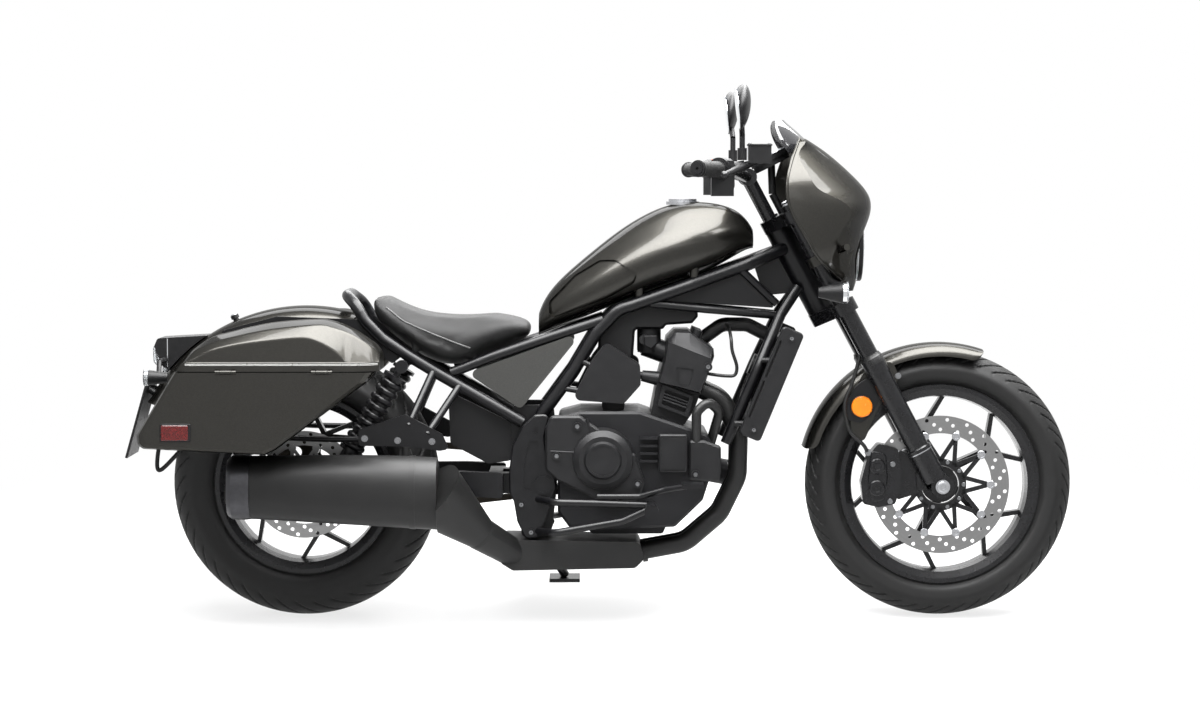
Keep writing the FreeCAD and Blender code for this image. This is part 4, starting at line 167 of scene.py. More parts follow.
def grid(points: np.ndarray, loop: bool = True, ring: bool = False, caps: bool = True) -> Surface:
    """A surface from a grid of points: quads between neighbouring rows and columns.

    Args:
        points: Array of rows, columns and x, y, z.
        loop: Whether the last column joins the first.
        ring: Whether the last row joins the first.
        caps: Whether the first and last rows are closed with one face each.

    Returns:
        The surface.
    """
    rows, columns = points.shape[:2]
    index = np.arange(rows * columns).reshape(rows, columns)
    if loop:
        index = np.hstack([index, index[:, :1]])
    if ring:
        index = np.vstack([index, index[:1]])
    quads = np.stack([index[:-1, :-1], index[:-1, 1:], index[1:, 1:], index[1:, :-1]], axis=-1)
    faces = [tuple(quad) for quad in quads.reshape(-1, 4).tolist()]
    if caps and loop and not ring:
        faces.append(tuple(range(columns))[::-1])
        faces.append(tuple(range((rows - 1) * columns, rows * columns)))
    return Surface(points.reshape(-1, 3), faces)


def unit(vector: np.ndarray) -> np.ndarray:
    """The vectors scaled to length one."""
    vector = np.asarray(vector, float)
    return vector / np.maximum(np.linalg.norm(vector, axis=-1, keepdims=True), 1e-9)


def curve(corners: list[tuple[float, ...]], count: int = 32) -> np.ndarray:
    """A smooth line through the corners: each run is the cubic with Catmull-Rom slopes at its ends.

    Args:
        corners: Points that the line passes.
        count: Points of the line.

    Returns:
        Array of count points.
    """
    given = np.asarray(corners, float)
    padded = np.vstack([2 * given[0] - given[1], given, 2 * given[-1] - given[-2]])
    runs = len(given) - 1
    place = np.linspace(0, runs, count)
    run = np.minimum(place.astype(int), runs - 1)
    t = (place - run)[:, None]
    before, start, stop, after = (padded[run + step] for step in range(4))
    return 0.5 * (2 * start + (stop - before) * t + (2 * before - 5 * start + 4 * stop - after) * t ** 2
                  + (3 * start - before - 3 * stop + after) * t ** 3)


def hose(corners: list[Point], radius: float | np.ndarray, count: int = 40,
         around: int = 12) -> Surface:
    """A round bar on a smooth line: circles square to the line's own direction.

    Args:
        corners: Points in mm that the line passes.
        radius: Radius in mm, one value or one for each point of the line.
        count: Rings along the line.
        around: Points in a ring.

    Returns:
        The closed surface.
    """
    line = curve(corners, count)
    along = unit(np.gradient(line, axis=0))
    spread = np.abs(along).mean(axis=0)
    reference = np.eye(3)[int(np.argmin(spread))]
    across = unit(np.cross(along, reference))
    up = np.cross(across, along)
    turn = np.linspace(0, 2 * math.pi, around, endpoint=False)[None, :, None]
    reach = np.broadcast_to(np.asarray(radius, float), (count,))[:, None, None]
    return grid(line[:, None] + reach * (np.cos(turn) * across[:, None] - np.sin(turn) * up[:, None]))


def turned(profile: list[Pair], centre: Point, axis: Point,
           around: int = 32, hollow: bool = False) -> Surface:
    """A turned piece: the profile's radius carried round the axis at each distance along it.

    Args:
        profile: Distance along the axis and radius, in mm, in order.
        centre: Where the distance is zero.
        axis: Direction of the axis.
        around: Points in a ring.
        hollow: Whether the profile's ends join, so that the axis stays open.

    Returns:
        The closed surface.
    """
    shape = np.asarray(profile, float)
    along = unit(np.asarray(axis, float))
    reference = np.eye(3)[int(np.argmin(np.abs(along)))]
    across = unit(np.cross(along, reference))
    up = np.cross(across, along)
    turn = np.linspace(0, 2 * math.pi, around, endpoint=False)[None, :, None]
    radius = np.maximum(shape[:, 1], 0.01)[:, None, None]
    spine = np.asarray(centre, float) + shape[:, :1] * along
    return grid(spine[:, None] + radius * (np.cos(turn) * across - np.sin(turn) * up), ring=hollow)


def plate(outline: list[Pair] | np.ndarray, y_from: float, y_to: float, bevel: float = 0.8) -> Surface:
    """A flat piece drawn in side view: four rings, the outer two drawn in by the bevel along the normals.

    Args:
        outline: Corners as x and z in mm.
        y_from: First side.
        y_to: Second side.
        bevel: Width of the broken edge.

    Returns:
        The closed surface.
    """
    ring = np.asarray(outline, float)
    area = np.sum(ring[:, 0] * np.roll(ring[:, 1], -1) - np.roll(ring[:, 0], -1) * ring[:, 1])
    if area < 0:
        ring = ring[::-1]
    ahead = unit(np.roll(ring, -1, axis=0) - ring)
    behind = unit(ring - np.roll(ring, 1, axis=0))
    normal = unit(np.stack([ahead[:, 1] + behind[:, 1], -ahead[:, 0] - behind[:, 0]], axis=-1))
    low, high = sorted((y_from, y_to))
    rings = []
    for y, inset in ((low, bevel), (low + bevel, 0.0), (high - bevel, 0.0), (high, bevel)):
        drawn = ring - normal * inset
        rings.append(np.stack([drawn[:, 0], np.full(len(drawn), y), drawn[:, 1]], axis=-1))
    return grid(np.stack(rings))


def rounded(corners: list[Pair], radius: float, steps: int = 5) -> np.ndarray:
    """An outline with rounded corners: each becomes a square-law curve between points at the radius from it.

    Args:
        corners: Corners of the outline.
        radius: Distance from a corner at which its curve starts, held under 0.45 of the shorter run.
        steps: Points on each curve.

    Returns:
        The outline's points.
    """
    given = np.asarray(corners, float)
    back = np.roll(given, 1, axis=-2) - given
    ahead = np.roll(given, -1, axis=-2) - given
    shorter = np.minimum(np.linalg.norm(back, axis=-1), np.linalg.norm(ahead, axis=-1))
    reach = np.minimum(radius, 0.45 * shorter)[..., None]
    start = (given + unit(back) * reach)[..., None, :]
    stop = (given + unit(ahead) * reach)[..., None, :]
    t = np.linspace(0, 1, steps)[:, None]
    bends = (1 - t) ** 2 * start + 2 * t * (1 - t) * given[..., None, :] + t ** 2 * stop
    return bends.reshape(*given.shape[:-2], -1, given.shape[-1])


def scattered(piece: Surface, spots: list[Point] | np.ndarray, axis: Point) -> Surface:
    """Copies of a piece drawn at the origin with its axis on z, set at each spot with that axis turned.

    Args:
        piece: The piece to copy.
        spots: Places in mm.
        axis: Direction that the piece's z takes.

    Returns:
        All copies as one surface.
    """
    places = np.asarray(spots, float).reshape(-1, 3)
    along = unit(np.asarray(axis, float))
    reference = np.eye(3)[int(np.argmin(np.abs(along)))]
    across = unit(np.cross(reference, along))
    up = np.cross(along, across)
    turn = np.stack([across, up, along])
    points = (piece.points @ turn)[None] + places[:, None]
    size = len(piece.points)
    faces = [tuple(index + number * size for index in face)
             for number in range(len(places)) for face in piece.faces]
    return Surface(points.reshape(-1, 3), faces)


def socket_screw(radius: float, height: float, around: int = 12) -> Surface:
    """A socket cap screw's head: rings of falling radius, six-sided from the socket's edge to its floor.

    Args:
        radius: Head radius in mm.
        height: Head height in mm.
        around: Points in a ring, a multiple of six.

    Returns:
        The head with its top on +z.
    """
    turn = np.linspace(0, 2 * math.pi, around, endpoint=False)
    six = math.cos(math.pi / 6) / np.cos(np.mod(turn, math.pi / 3) - math.pi / 6)
    levels = [(radius, -0.5, 0.0), (radius, height * 0.85, 0.0), (radius * 0.9, height, 0.0),
              (radius * 0.55, height, 1.0), (radius * 0.52, height * 0.35, 1.0), (0.01, height * 0.3, 0.0)]
    rings = []
    for ring_radius, level, sided in levels:
        reach = ring_radius * (1 - sided + sided * six)
        rings.append(np.stack([reach * np.cos(turn), reach * np.sin(turn), np.full(around, level)], -1))
    return grid(np.stack(rings))


def hex_nut(radius: float, height: float) -> Surface:
    """A six-sided nut or bolt head with a washer face and a domed top ring.

    Args:
        radius: Radius over the corners in mm.
        height: Height in mm.

    Returns:
        The nut with its top on +z.
    """
    turn = np.linspace(0, 2 * math.pi, 12, endpoint=False)
    six = math.cos(math.pi / 6) / np.cos(np.mod(turn, math.pi / 3) - math.pi / 6)
    flat = radius * math.cos(math.pi / 6)
    levels = [(flat * 1.25, -0.5, 0.0), (flat * 1.25, 1.2, 0.0), (flat, 1.3, 1.0),
              (flat, height * 0.85, 1.0), (flat * 0.93, height, 0.0), (0.01, height, 0.0)]
    rings = []
    for ring_radius, level, sided in levels:
        reach = ring_radius * (1 - sided + sided * six)
        rings.append(np.stack([reach * np.cos(turn), reach * np.sin(turn), np.full(12, level)], axis=-1))
    return grid(np.stack(rings))


# Materials

def linear(hex_colour: str) -> tuple[float, ...]:
    """An sRGB hex value as linear red, green, blue and alpha."""
    values = [int(hex_colour[place:place + 2], 16) / 255 for place in (1, 3, 5)]
    light = [value / 12.92 if value <= 0.04045 else ((value + 0.055) / 1.055) ** 2.4 for value in values]
    return (*light, 1.0)


def per_metre(size_mm: float) -> float:
    """A texture scale whose pattern repeats about every size_mm."""
    return 1.0 / (size_mm * MM)


def add_node(tree: bpy.types.NodeTree, kind: str, settings: dict | None = None,
             inputs: dict | None = None) -> bpy.types.Node:
    """Adds a node, sets its properties and fills or links its inputs.

    Args:
        tree: The node tree.
        kind: The node's Blender type.
        settings: Property names and values.
        inputs: Input names or numbers, each with a value or an output socket.

    Returns:
        The node.
    """
    node = tree.nodes.new(kind)
    for name, value in (settings or {}).items():
        setattr(node, name, value)
    for name, value in (inputs or {}).items():
        if isinstance(value, bpy.types.NodeSocket):
            tree.links.new(value, node.inputs[name])
        else:
            node.inputs[name].default_value = value
    return node


@dataclass(frozen=True)
class Finish:
    """A surface finish: one principled shader; colour, roughness and bump vary by noise of real sizes."""

    name: str
    colour: str
    tone: str
    metallic: float = 0.0
    roughness: float = 0.5
    roughness_swing: float = 0.08
    ior: float = 1.5
    patch_mm: float = 30.0
    grain_mm: float = 0.8
    grain_depth_mm: float = 0.03
    coat: float = 0.0
    coat_roughness: float = 0.05
    sheen: float = 0.0
    transmission: float = 0.0
    specular: float = 0.5
    edge: str = "#ffffff"

    def shader(self, tree: bpy.types.NodeTree) -> bpy.types.Node:
        """The principled shader with its constant values on its own sockets."""
        shader = add_node(tree, "ShaderNodeBsdfPrincipled")
        shader.inputs["Metallic"].default_value = self.metallic
        shader.inputs["IOR"].default_value = self.ior
        shader.inputs["Coat Weight"].default_value = self.coat
        shader.inputs["Coat Roughness"].default_value = self.coat_roughness
        shader.inputs["Sheen Weight"].default_value = self.sheen
        shader.inputs["Transmission Weight"].default_value = self.transmission
        shader.inputs["Specular IOR Level"].default_value = self.specular
        shader.inputs["Specular Tint"].default_value = linear(self.edge)
        return shader

    def coordinates(self, tree: bpy.types.NodeTree) -> bpy.types.NodeSocket:
        """Where patterns are read: the piece's object coordinates in metres."""
        return add_node(tree, "ShaderNodeTexCoord").outputs["Object"]

    def height(self, tree: bpy.types.NodeTree, place: bpy.types.NodeSocket) -> bpy.types.NodeSocket:
        """The bump's height pattern: fine noise of the grain's size."""
        noise = add_node(tree, "ShaderNodeTexNoise", inputs={
            "Vector": place, "Scale": per_metre(self.grain_mm), "Detail": 2.0, "Roughness": 0.6})
        return noise.outputs["Fac"]

    def build(self) -> bpy.types.Material:
        """Makes the material once and gives it back on later calls."""
        known = bpy.data.materials.get(self.name)
        if known:
            return known
        material = bpy.data.materials.new(self.name)
        material.use_nodes = True
        tree = material.node_tree
        tree.nodes.clear()
        shader = self.shader(tree)
        place = self.coordinates(tree)
        self.dress(tree, shader, place)
        add_node(tree, "ShaderNodeOutputMaterial", inputs={"Surface": shader.outputs["BSDF"]})
        return material

    def dress(self, tree: bpy.types.NodeTree, shader: bpy.types.Node, place: bpy.types.NodeSocket) -> None:
        """Links colour, roughness and bump to their patterns.

        Args:
            tree: The node tree.
            shader: The principled shader.
            place: Coordinates of the patterns.
        """
        patches = add_node(tree, "ShaderNodeTexNoise", inputs={
            "Vector": place, "Scale": per_metre(self.patch_mm), "Detail": 4.0, "Roughness": 0.55})
        self.tint(tree, shader, patches.outputs["Fac"])
        self.roughen(tree, shader, patches.outputs["Fac"], (0.3, 0.7))
        self.emboss(tree, shader, place)

    def tint(self, tree: bpy.types.NodeTree, shader: bpy.types.Node, share: bpy.types.NodeSocket) -> None:
        """Mixes colour and tone by a pattern.

        Args:
            tree: The node tree.
            shader: The principled shader.
            share: The pattern, 0 for the colour and 1 for the tone.
        """
        mix = add_node(tree, "ShaderNodeMix", {"data_type": "RGBA"},
                       {0: share, 6: linear(self.colour), 7: linear(self.tone)})
        tree.links.new(mix.outputs[2], shader.inputs["Base Color"])

    def roughen(self, tree: bpy.types.NodeTree, shader: bpy.types.Node, pattern: bpy.types.NodeSocket,
                span: Pair) -> None:
        """Swings the roughness about its value by a pattern.

        Args:
            tree: The node tree.
            shader: The principled shader.
            pattern: The pattern.
            span: Its values at the swing's two ends.
        """
        spread = add_node(tree, "ShaderNodeMapRange", inputs={
            "Value": pattern, "From Min": span[0], "From Max": span[1],
            "To Min": self.roughness - self.roughness_swing,
            "To Max": self.roughness + self.roughness_swing})
        tree.links.new(spread.outputs["Result"], shader.inputs["Roughness"])

    def emboss(self, tree: bpy.types.NodeTree, shader: bpy.types.Node, place: bpy.types.NodeSocket) -> None:
        """Links the bump of the grain's real depth."""
        bump = add_node(tree, "ShaderNodeBump", inputs={"Height": self.height(tree, place), "Strength": 1.0,
                                                        "Distance": self.grain_depth_mm * MM})
        tree.links.new(bump.outputs["Normal"], shader.inputs["Normal"])


@dataclass(frozen=True)
class MetallicPaint(Finish):
    """Two-stage metallic paint: aluminium flakes of uneven brightness under a clear coat."""

    flake_mm: float = 0.9

    def dress(self, tree: bpy.types.NodeTree, shader: bpy.types.Node, place: bpy.types.NodeSocket) -> None:
        """Flakes are cells with a random tone each, coarser than the real 0.05 mm so that they show."""
        flakes = add_node(tree, "ShaderNodeTexVoronoi", {"feature": "F1"},
                          {"Vector": place, "Scale": per_metre(self.flake_mm)})
        level = add_node(tree, "ShaderNodeSeparateColor", inputs={"Color": flakes.outputs["Color"]})
        tone = add_node(tree, "ShaderNodeMapRange", inputs={"Value": level.outputs["Red"], "To Min": 0.25,
                                                            "To Max": 0.75})
        self.tint(tree, shader, tone.outputs["Result"])
        waves = add_node(tree, "ShaderNodeTexNoise", inputs={
            "Vector": place, "Scale": per_metre(self.patch_mm), "Detail": 2.0})
        self.roughen(tree, shader, waves.outputs["Fac"], (0.0, 1.0))
        self.emboss(tree, shader, place)


@dataclass(frozen=True)
class GrainedVinyl(Finish):
    """Coated upholstery vinyl, embossed with a leather grain of small raised cells."""

    def height(self, tree: bpy.types.NodeTree, place: bpy.types.NodeSocket) -> bpy.types.NodeSocket:
        """Rounded cells of the grain's size, from the distance to each cell's edge."""
        cells = add_node(tree, "ShaderNodeTexVoronoi", {"feature": "SMOOTH_F1"},
                         {"Vector": place, "Scale": per_metre(self.grain_mm), "Smoothness": 0.4})
        return cells.outputs["Distance"]


@dataclass(frozen=True)
class TurnedSteel(Finish):
    """Ground brake disc steel: fine rings about the wheel's axle, and tints that change with the radius."""

    centre: Point = (0.0, 0.0, 0.0)

    def coordinates(self, tree: bpy.types.NodeTree) -> bpy.types.NodeSocket:
        """The distance from the axle as the first coordinate, so that noise draws rings."""
        at = PARKING.place(np.array(self.centre))
        place = add_node(tree, "ShaderNodeTexCoord").outputs["Object"]
        moved = add_node(tree, "ShaderNodeVectorMath", {"operation": "SUBTRACT"}, {0: place, 1: tuple(at)})
        axle = tuple(PARKING.turn @ np.array(LEFT))
        along = add_node(tree, "ShaderNodeVectorMath", {"operation": "DOT_PRODUCT"},
                         {0: moved.outputs[0], 1: axle})
        part = add_node(tree, "ShaderNodeVectorMath", {"operation": "SCALE"}, {0: axle})
        tree.links.new(along.outputs["Value"], part.inputs["Scale"])
        radial = add_node(tree, "ShaderNodeVectorMath", {"operation": "SUBTRACT"},
                          {0: moved.outputs[0], 1: part.outputs[0]})
        length = add_node(tree, "ShaderNodeVectorMath", {"operation": "LENGTH"}, {0: radial.outputs[0]})
        joined = add_node(tree, "ShaderNodeCombineXYZ", inputs={"X": length.outputs["Value"]})
        return joined.outputs["Vector"]


@dataclass(frozen=True)
class PrismLens(Finish):
    """A moulded reflector or lamp lens with rows of small prisms behind its face."""

    prism_mm: float = 4.0

    def height(self, tree: bpy.types.NodeTree, place: bpy.types.NodeSocket) -> bpy.types.NodeSocket:
        """Square prisms from cells measured along the axes."""
        cells = add_node(tree, "ShaderNodeTexVoronoi", {"feature": "F1", "distance": "CHEBYCHEV"},
                         {"Vector": place, "Scale": per_metre(self.prism_mm), "Randomness": 0.0})
        return cells.outputs["Distance"]


# Bronze-grey metallic under clear coat, sprayed: dark face on, bright where it turns up to the light.
PAINT = MetallicPaint("paint_metallic_bronze_clearcoat", "#292826", "#3d3c39", metallic=0.95,
                      roughness=0.34, roughness_swing=0.03, patch_mm=60.0, grain_mm=3.0,
                      grain_depth_mm=0.01, coat=0.2, specular=0.3, edge="#8c8c88")
# The same coat in a cooler, paler grey, which sets the small side panels off.
SIDE_PAINT = MetallicPaint("paint_metallic_graphite_clearcoat", "#3b3b3a", "#4e4e4c", metallic=0.9,
                           roughness=0.36, roughness_swing=0.03, patch_mm=60.0, grain_mm=3.0,
                           grain_depth_mm=0.01, coat=0.3, coat_roughness=0.1, specular=0.3, edge="#77756f")
# Powder coat, baked: a satin black skin with a faint orange peel of 1.6 mm.
POWDER_COAT = Finish("steel_satin_powder_coat_black", "#040405", "#08080a", roughness=0.36,
                     roughness_swing=0.05, patch_mm=25.0, grain_mm=1.6, grain_depth_mm=0.02, coat=0.1,
                     coat_roughness=0.25, specular=0.22)
# Sand-cast aluminium under dark paint: dull, with a grain of 0.9 mm.
CAST_PAINT = Finish("aluminium_cast_painted_dark", "#08080a", "#0f0f11", metallic=0.2, roughness=0.48,
                    roughness_swing=0.06, patch_mm=40.0, grain_mm=0.9, grain_depth_mm=0.05, specular=0.25)
# Die-cast covers, painted a shade paler than the cases so that their edges stand out.
COVER_PAINT = Finish("aluminium_cover_painted_grey", "#101011", "#19191a", metallic=0.3, roughness=0.42,
                     roughness_swing=0.05, grain_mm=1.0, specular=0.25)
# Ceramic heat coat, sprayed: matte black with a wide soft gleam along the pipes.
EXHAUST_COAT = Finish("steel_ceramic_coat_black", "#0e0e0e", "#161616", metallic=0.3, roughness=0.46,
                      roughness_swing=0.05, patch_mm=60.0, grain_mm=1.2, grain_depth_mm=0.02, specular=0.35)
# Steel of the silencer's tail cap, brushed and left bare: a dull grey gleam.
CAP_STEEL = Finish("steel_brushed_bare", "#4e4e51", "#3e3e40", metallic=1.0, roughness=0.36,
                   roughness_swing=0.05, patch_mm=12.0, grain_depth_mm=0.01)
# Machined aluminium: pale, with tool marks of 0.5 mm that blur what it mirrors.
ALLOY = Finish("aluminium_machined", "#b4b5b8", "#9a9b9e", metallic=1.0, roughness=0.3,
               roughness_swing=0.06, patch_mm=6.0, grain_mm=0.5, grain_depth_mm=0.01)
# Zinc-plated bolt steel: small grey glints.
BOLT_STEEL = Finish("steel_zinc_plated", "#8f9092", "#6f7072", metallic=1.0, roughness=0.3,
                    roughness_swing=0.06, patch_mm=4.0, grain_mm=0.6, grain_depth_mm=0.01)
# Chrome plate on polished steel: mirrors the room almost sharply.
CHROME = Finish("steel_chrome_plated", "#d6d7d9", "#c4c6c9", metallic=1.0, roughness=0.08,
                roughness_swing=0.02, patch_mm=20.0, grain_mm=2.0, grain_depth_mm=0.004)
# Silvered glass: a sharp image of the room.
MIRROR = Finish("glass_silvered", "#dfe3e6", "#dadee2", metallic=1.0, roughness=0.025, roughness_swing=0.01,
                patch_mm=80.0, grain_mm=4.0, grain_depth_mm=0.001)
# Rolled chain steel under oil: brown-grey with wet glints.
CHAIN_STEEL = Finish("steel_rolled_oiled", "#3f3b35", "#26231f", metallic=0.9, roughness=0.36, patch_mm=8.0,
                     grain_depth_mm=0.02)
# Anodised aluminium, black: a tight gleam along the fork's tubes.
FORK_COAT = Finish("aluminium_anodised_black", "#0a0a0b", "#121214", metallic=0.4, roughness=0.28,
                   roughness_swing=0.04, patch_mm=25.0, grain_mm=1.4, grain_depth_mm=0.012, coat=0.2,
                   coat_roughness=0.2, specular=0.35)
# Upholstery vinyl, embossed: a leather grain of 1.5 mm breaks up the gleam.
VINYL = GrainedVinyl("vinyl_embossed_leather_grain", "#080808", "#0e0e0e", roughness=0.55,
                     roughness_swing=0.05, patch_mm=45.0, grain_mm=1.5, grain_depth_mm=0.11, sheen=0.02,
                     specular=0.17)
# Bonded polyester thread: a matte line a little paler than the vinyl.
THREAD = Finish("polyester_thread_bonded", "#232323", "#303030", roughness=0.6, roughness_swing=0.05,
                patch_mm=3.0, grain_mm=0.5, grain_depth_mm=0.05, sheen=0.2)
# Moulded tyre rubber: grey-black without a gleam.
RUBBER = Finish("rubber_moulded_tyre", "#0b0b0b", "#121212", roughness=0.6, roughness_swing=0.06, ior=1.52,
                patch_mm=22.0, grain_mm=1.1, grain_depth_mm=0.05, specular=0.2)
# Moulded plastic with a textured skin: black and dull.
MOULDED = Finish("abs_moulded_textured_black", "#070708", "#0d0d0e", roughness=0.45, roughness_swing=0.05,
                 patch_mm=18.0, grain_mm=0.7, grain_depth_mm=0.05, specular=0.22)
# Moulded plastic with a smooth skin: satin black on the radiator's side covers.
SHROUD = Finish("abs_moulded_satin_grey", "#0d0d0e", "#141415", metallic=0.1, roughness=0.38,
                roughness_swing=0.05, patch_mm=25.0, specular=0.25)
# Extruded rubber: black with a soft gleam along the hose.
HOSE = Finish("rubber_extruded_hose", "#080808", "#101010", roughness=0.45, ior=1.52, patch_mm=12.0,
              grain_mm=1.5, grain_depth_mm=0.04, specular=0.3)
# Aluminium fins under thin black paint: a dark, faintly metallic field.
FIN = Finish("aluminium_fin_painted", "#101011", "#1a1a1b", metallic=0.5, roughness_swing=0.05,
             patch_mm=10.0, grain_depth_mm=0.02, specular=0.3)
# Tinted polycarbonate, formed hot: dark smoke with a polished face.
SMOKE = Finish("polycarbonate_tinted_smoke", "#2a2a2c", "#242426", roughness=0.06, roughness_swing=0.02,
               ior=1.58, patch_mm=80.0, grain_mm=3.0, grain_depth_mm=0.003, coat=0.2, coat_roughness=0.03,
               transmission=0.6, specular=0.3)
# Clear polycarbonate, moulded: bright rims and a faint blue.
CLEAR = Finish("polycarbonate_clear_lens", "#eef1f4", "#e6eaee", roughness=0.05, roughness_swing=0.02,
               ior=1.58, patch_mm=50.0, grain_mm=4.0, grain_depth_mm=0.01, coat_roughness=0.03,
               transmission=0.85)
# Red acrylic: prisms of 3.5 mm behind a flat face glow in patches.
RED_LENS = PrismLens("pmma_red_prism_lens", "#4a0606", "#300404", roughness=0.24, roughness_swing=0.05,
                     ior=1.49, patch_mm=12.0, grain_mm=2.0, grain_depth_mm=0.22, coat=0.3,
                     coat_roughness=0.08, transmission=0.1, specular=0.3, prism_mm=3.5)
# Acrylic dyed amber: the same with prisms of 3 mm.
AMBER_LENS = PrismLens("pmma_amber_prism_lens", "#c46a08", "#a35305", roughness=0.24, roughness_swing=0.05,
                       ior=1.49, patch_mm=12.0, grain_mm=2.0, grain_depth_mm=0.22, coat=0.3,
                       coat_roughness=0.08, transmission=0.1, specular=0.3, prism_mm=3.0)
# Moulded orange plastic: the one bright button.
ORANGE = Finish("abs_moulded_orange", "#d8500e", "#c4440a", roughness=0.35, roughness_swing=0.04,
                patch_mm=10.0, grain_depth_mm=0.01)
# Silver vinyl tape: a thin line that flashes where the belt faces the light.
SILVER_LINE = Finish("vinyl_silver_pinstripe", "#c4c4c1", "#b4b4b1", metallic=0.7, roughness=0.3,
                     roughness_swing=0.04, patch_mm=15.0, grain_mm=1.0, grain_depth_mm=0.005, coat=0.5)
# Printed dial: a smooth black ground.
DIAL = Finish("dial_printed_black", "#0c0d0f", "#121316", roughness=0.3, roughness_swing=0.03,
              patch_mm=20.0, grain_depth_mm=0.005)
# Printed dial: white marks.
DIAL_MARK = Finish("dial_printed_white", "#e4e4e0", "#d8d8d4", roughness=0.4, roughness_swing=0.03,
                   patch_mm=10.0, grain_depth_mm=0.005)
# Brake disc steel, ground: fine rings about the axle spread the gleam.
FRONT_DISC = TurnedSteel("steel_ground_disc_front", "#8f8f8f", "#757575", metallic=1.0, roughness=0.32,
                         roughness_swing=0.07, patch_mm=9.0, grain_mm=1.2, grain_depth_mm=0.02,
                         centre=(WHEELBASE, 0.0, FRONT_AXLE_HEIGHT))
# The rear disc's steel, a shade paler.
REAR_DISC = TurnedSteel("steel_ground_disc_rear", "#9c9c9c", "#858585", metallic=1.0, roughness=0.32,
                        roughness_swing=0.07, patch_mm=9.0, grain_mm=1.2, grain_depth_mm=0.02,
                        centre=(0.0, 0.0, REAR_AXLE_HEIGHT))


class SlotFinish(Enum):
    """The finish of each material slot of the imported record."""

    frame_black = POWDER_COAT
    paint_bronze = PAINT
    engine_dark = CAST_PAINT
    exhaust_black = EXHAUST_COAT
    machined_alloy = ALLOY
    disc_steel = FRONT_DISC
    chain_steel = CHAIN_STEEL
    fork_black = FORK_COAT
    seat_vinyl = VINYL
    tyre_rubber = RUBBER
    moulded_black = MOULDED
    hose_rubber = HOSE
    smoke_screen = SMOKE
    lamp_clear = CLEAR
    lamp_red = RED_LENS
    shroud_grey = SHROUD


def make_piece(name: str, surface: Surface, finish: Finish, body: Body, smooth: float = 35.0
               ) -> bpy.types.Object:
    """Turns a surface into a parked piece that rides on its body.

    Args:
        name: The piece's name.
        surface: Its surface on the upright bike.
        finish: Its finish.
        body: The body it rides on.
        smooth: Edges flatter than this angle in degrees are shaded smooth.

    Returns:
        The new object.
    """
    mesh = bpy.data.meshes.new(name)
    mesh.from_pydata(PARKING.place(surface.points).tolist(), [], surface.faces)
    clean = bmesh.new()
    clean.from_mesh(mesh)
    bmesh.ops.remove_doubles(clean, verts=clean.verts, dist=0.00002)
    bmesh.ops.recalc_face_normals(clean, faces=clean.faces)
    clean.to_mesh(mesh)
    clean.free()
    mesh.materials.append(finish.build())
    mesh.shade_smooth()
    mesh.set_sharp_from_angle(angle=math.radians(smooth))
    piece = bpy.data.objects.new(name, mesh)
    bpy.context.scene.collection.objects.link(piece)
    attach(piece, body.value)
    LOG.info("%s: %d points on %s", name, len(mesh.vertices), body.value)
    return piece


@dataclass
class Trim:
    """A small piece before it is made, drawn on the bike's left where it has a twin."""

    name: str
    surface: Surface
    finish: Finish
    slot: str

    def make(self, body: Body) -> None:
        """Makes the piece as it is drawn."""
        make_piece(self.name, self.surface, self.finish, body)

    def make_pair(self, body: Body) -> None:
        """Makes the left piece and its mirror image on the right."""
        make_piece(f"{self.name}_left", self.surface, self.finish, body)
        make_piece(f"{self.name}_right", self.surface.mirrored(), self.finish, body)


# Carried-over nodes

@dataclass
class CarriedNodes:
    """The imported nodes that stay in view, each with the finish of its slot or one of its own."""

    own_finish: dict[str, Finish] = field(default_factory=lambda: {
        "rear_disc": REAR_DISC,
        "side_covers": SIDE_PAINT,
        "cylinder_head": COVER_PAINT,
        "clutch_cover": COVER_PAINT,
        "generator_cover": COVER_PAINT,
        "tail_lamp": MOULDED,
        "rear_caliper": FORK_COAT,
        "rear_sprocket": CHAIN_STEEL,
    })

    def dress(self) -> None:
        """Gives each node its finish."""
        for part in frame["record"]["subparts"]:
            name = part["node"]
            finish = self.own_finish.get(name, SlotFinish[part["material_slot"]].value)
            mesh = frame["nodes"][name].data
            mesh.materials.clear()
            mesh.materials.append(finish.build())
            LOG.info("%s: %s", name, finish.name)


# The saddle

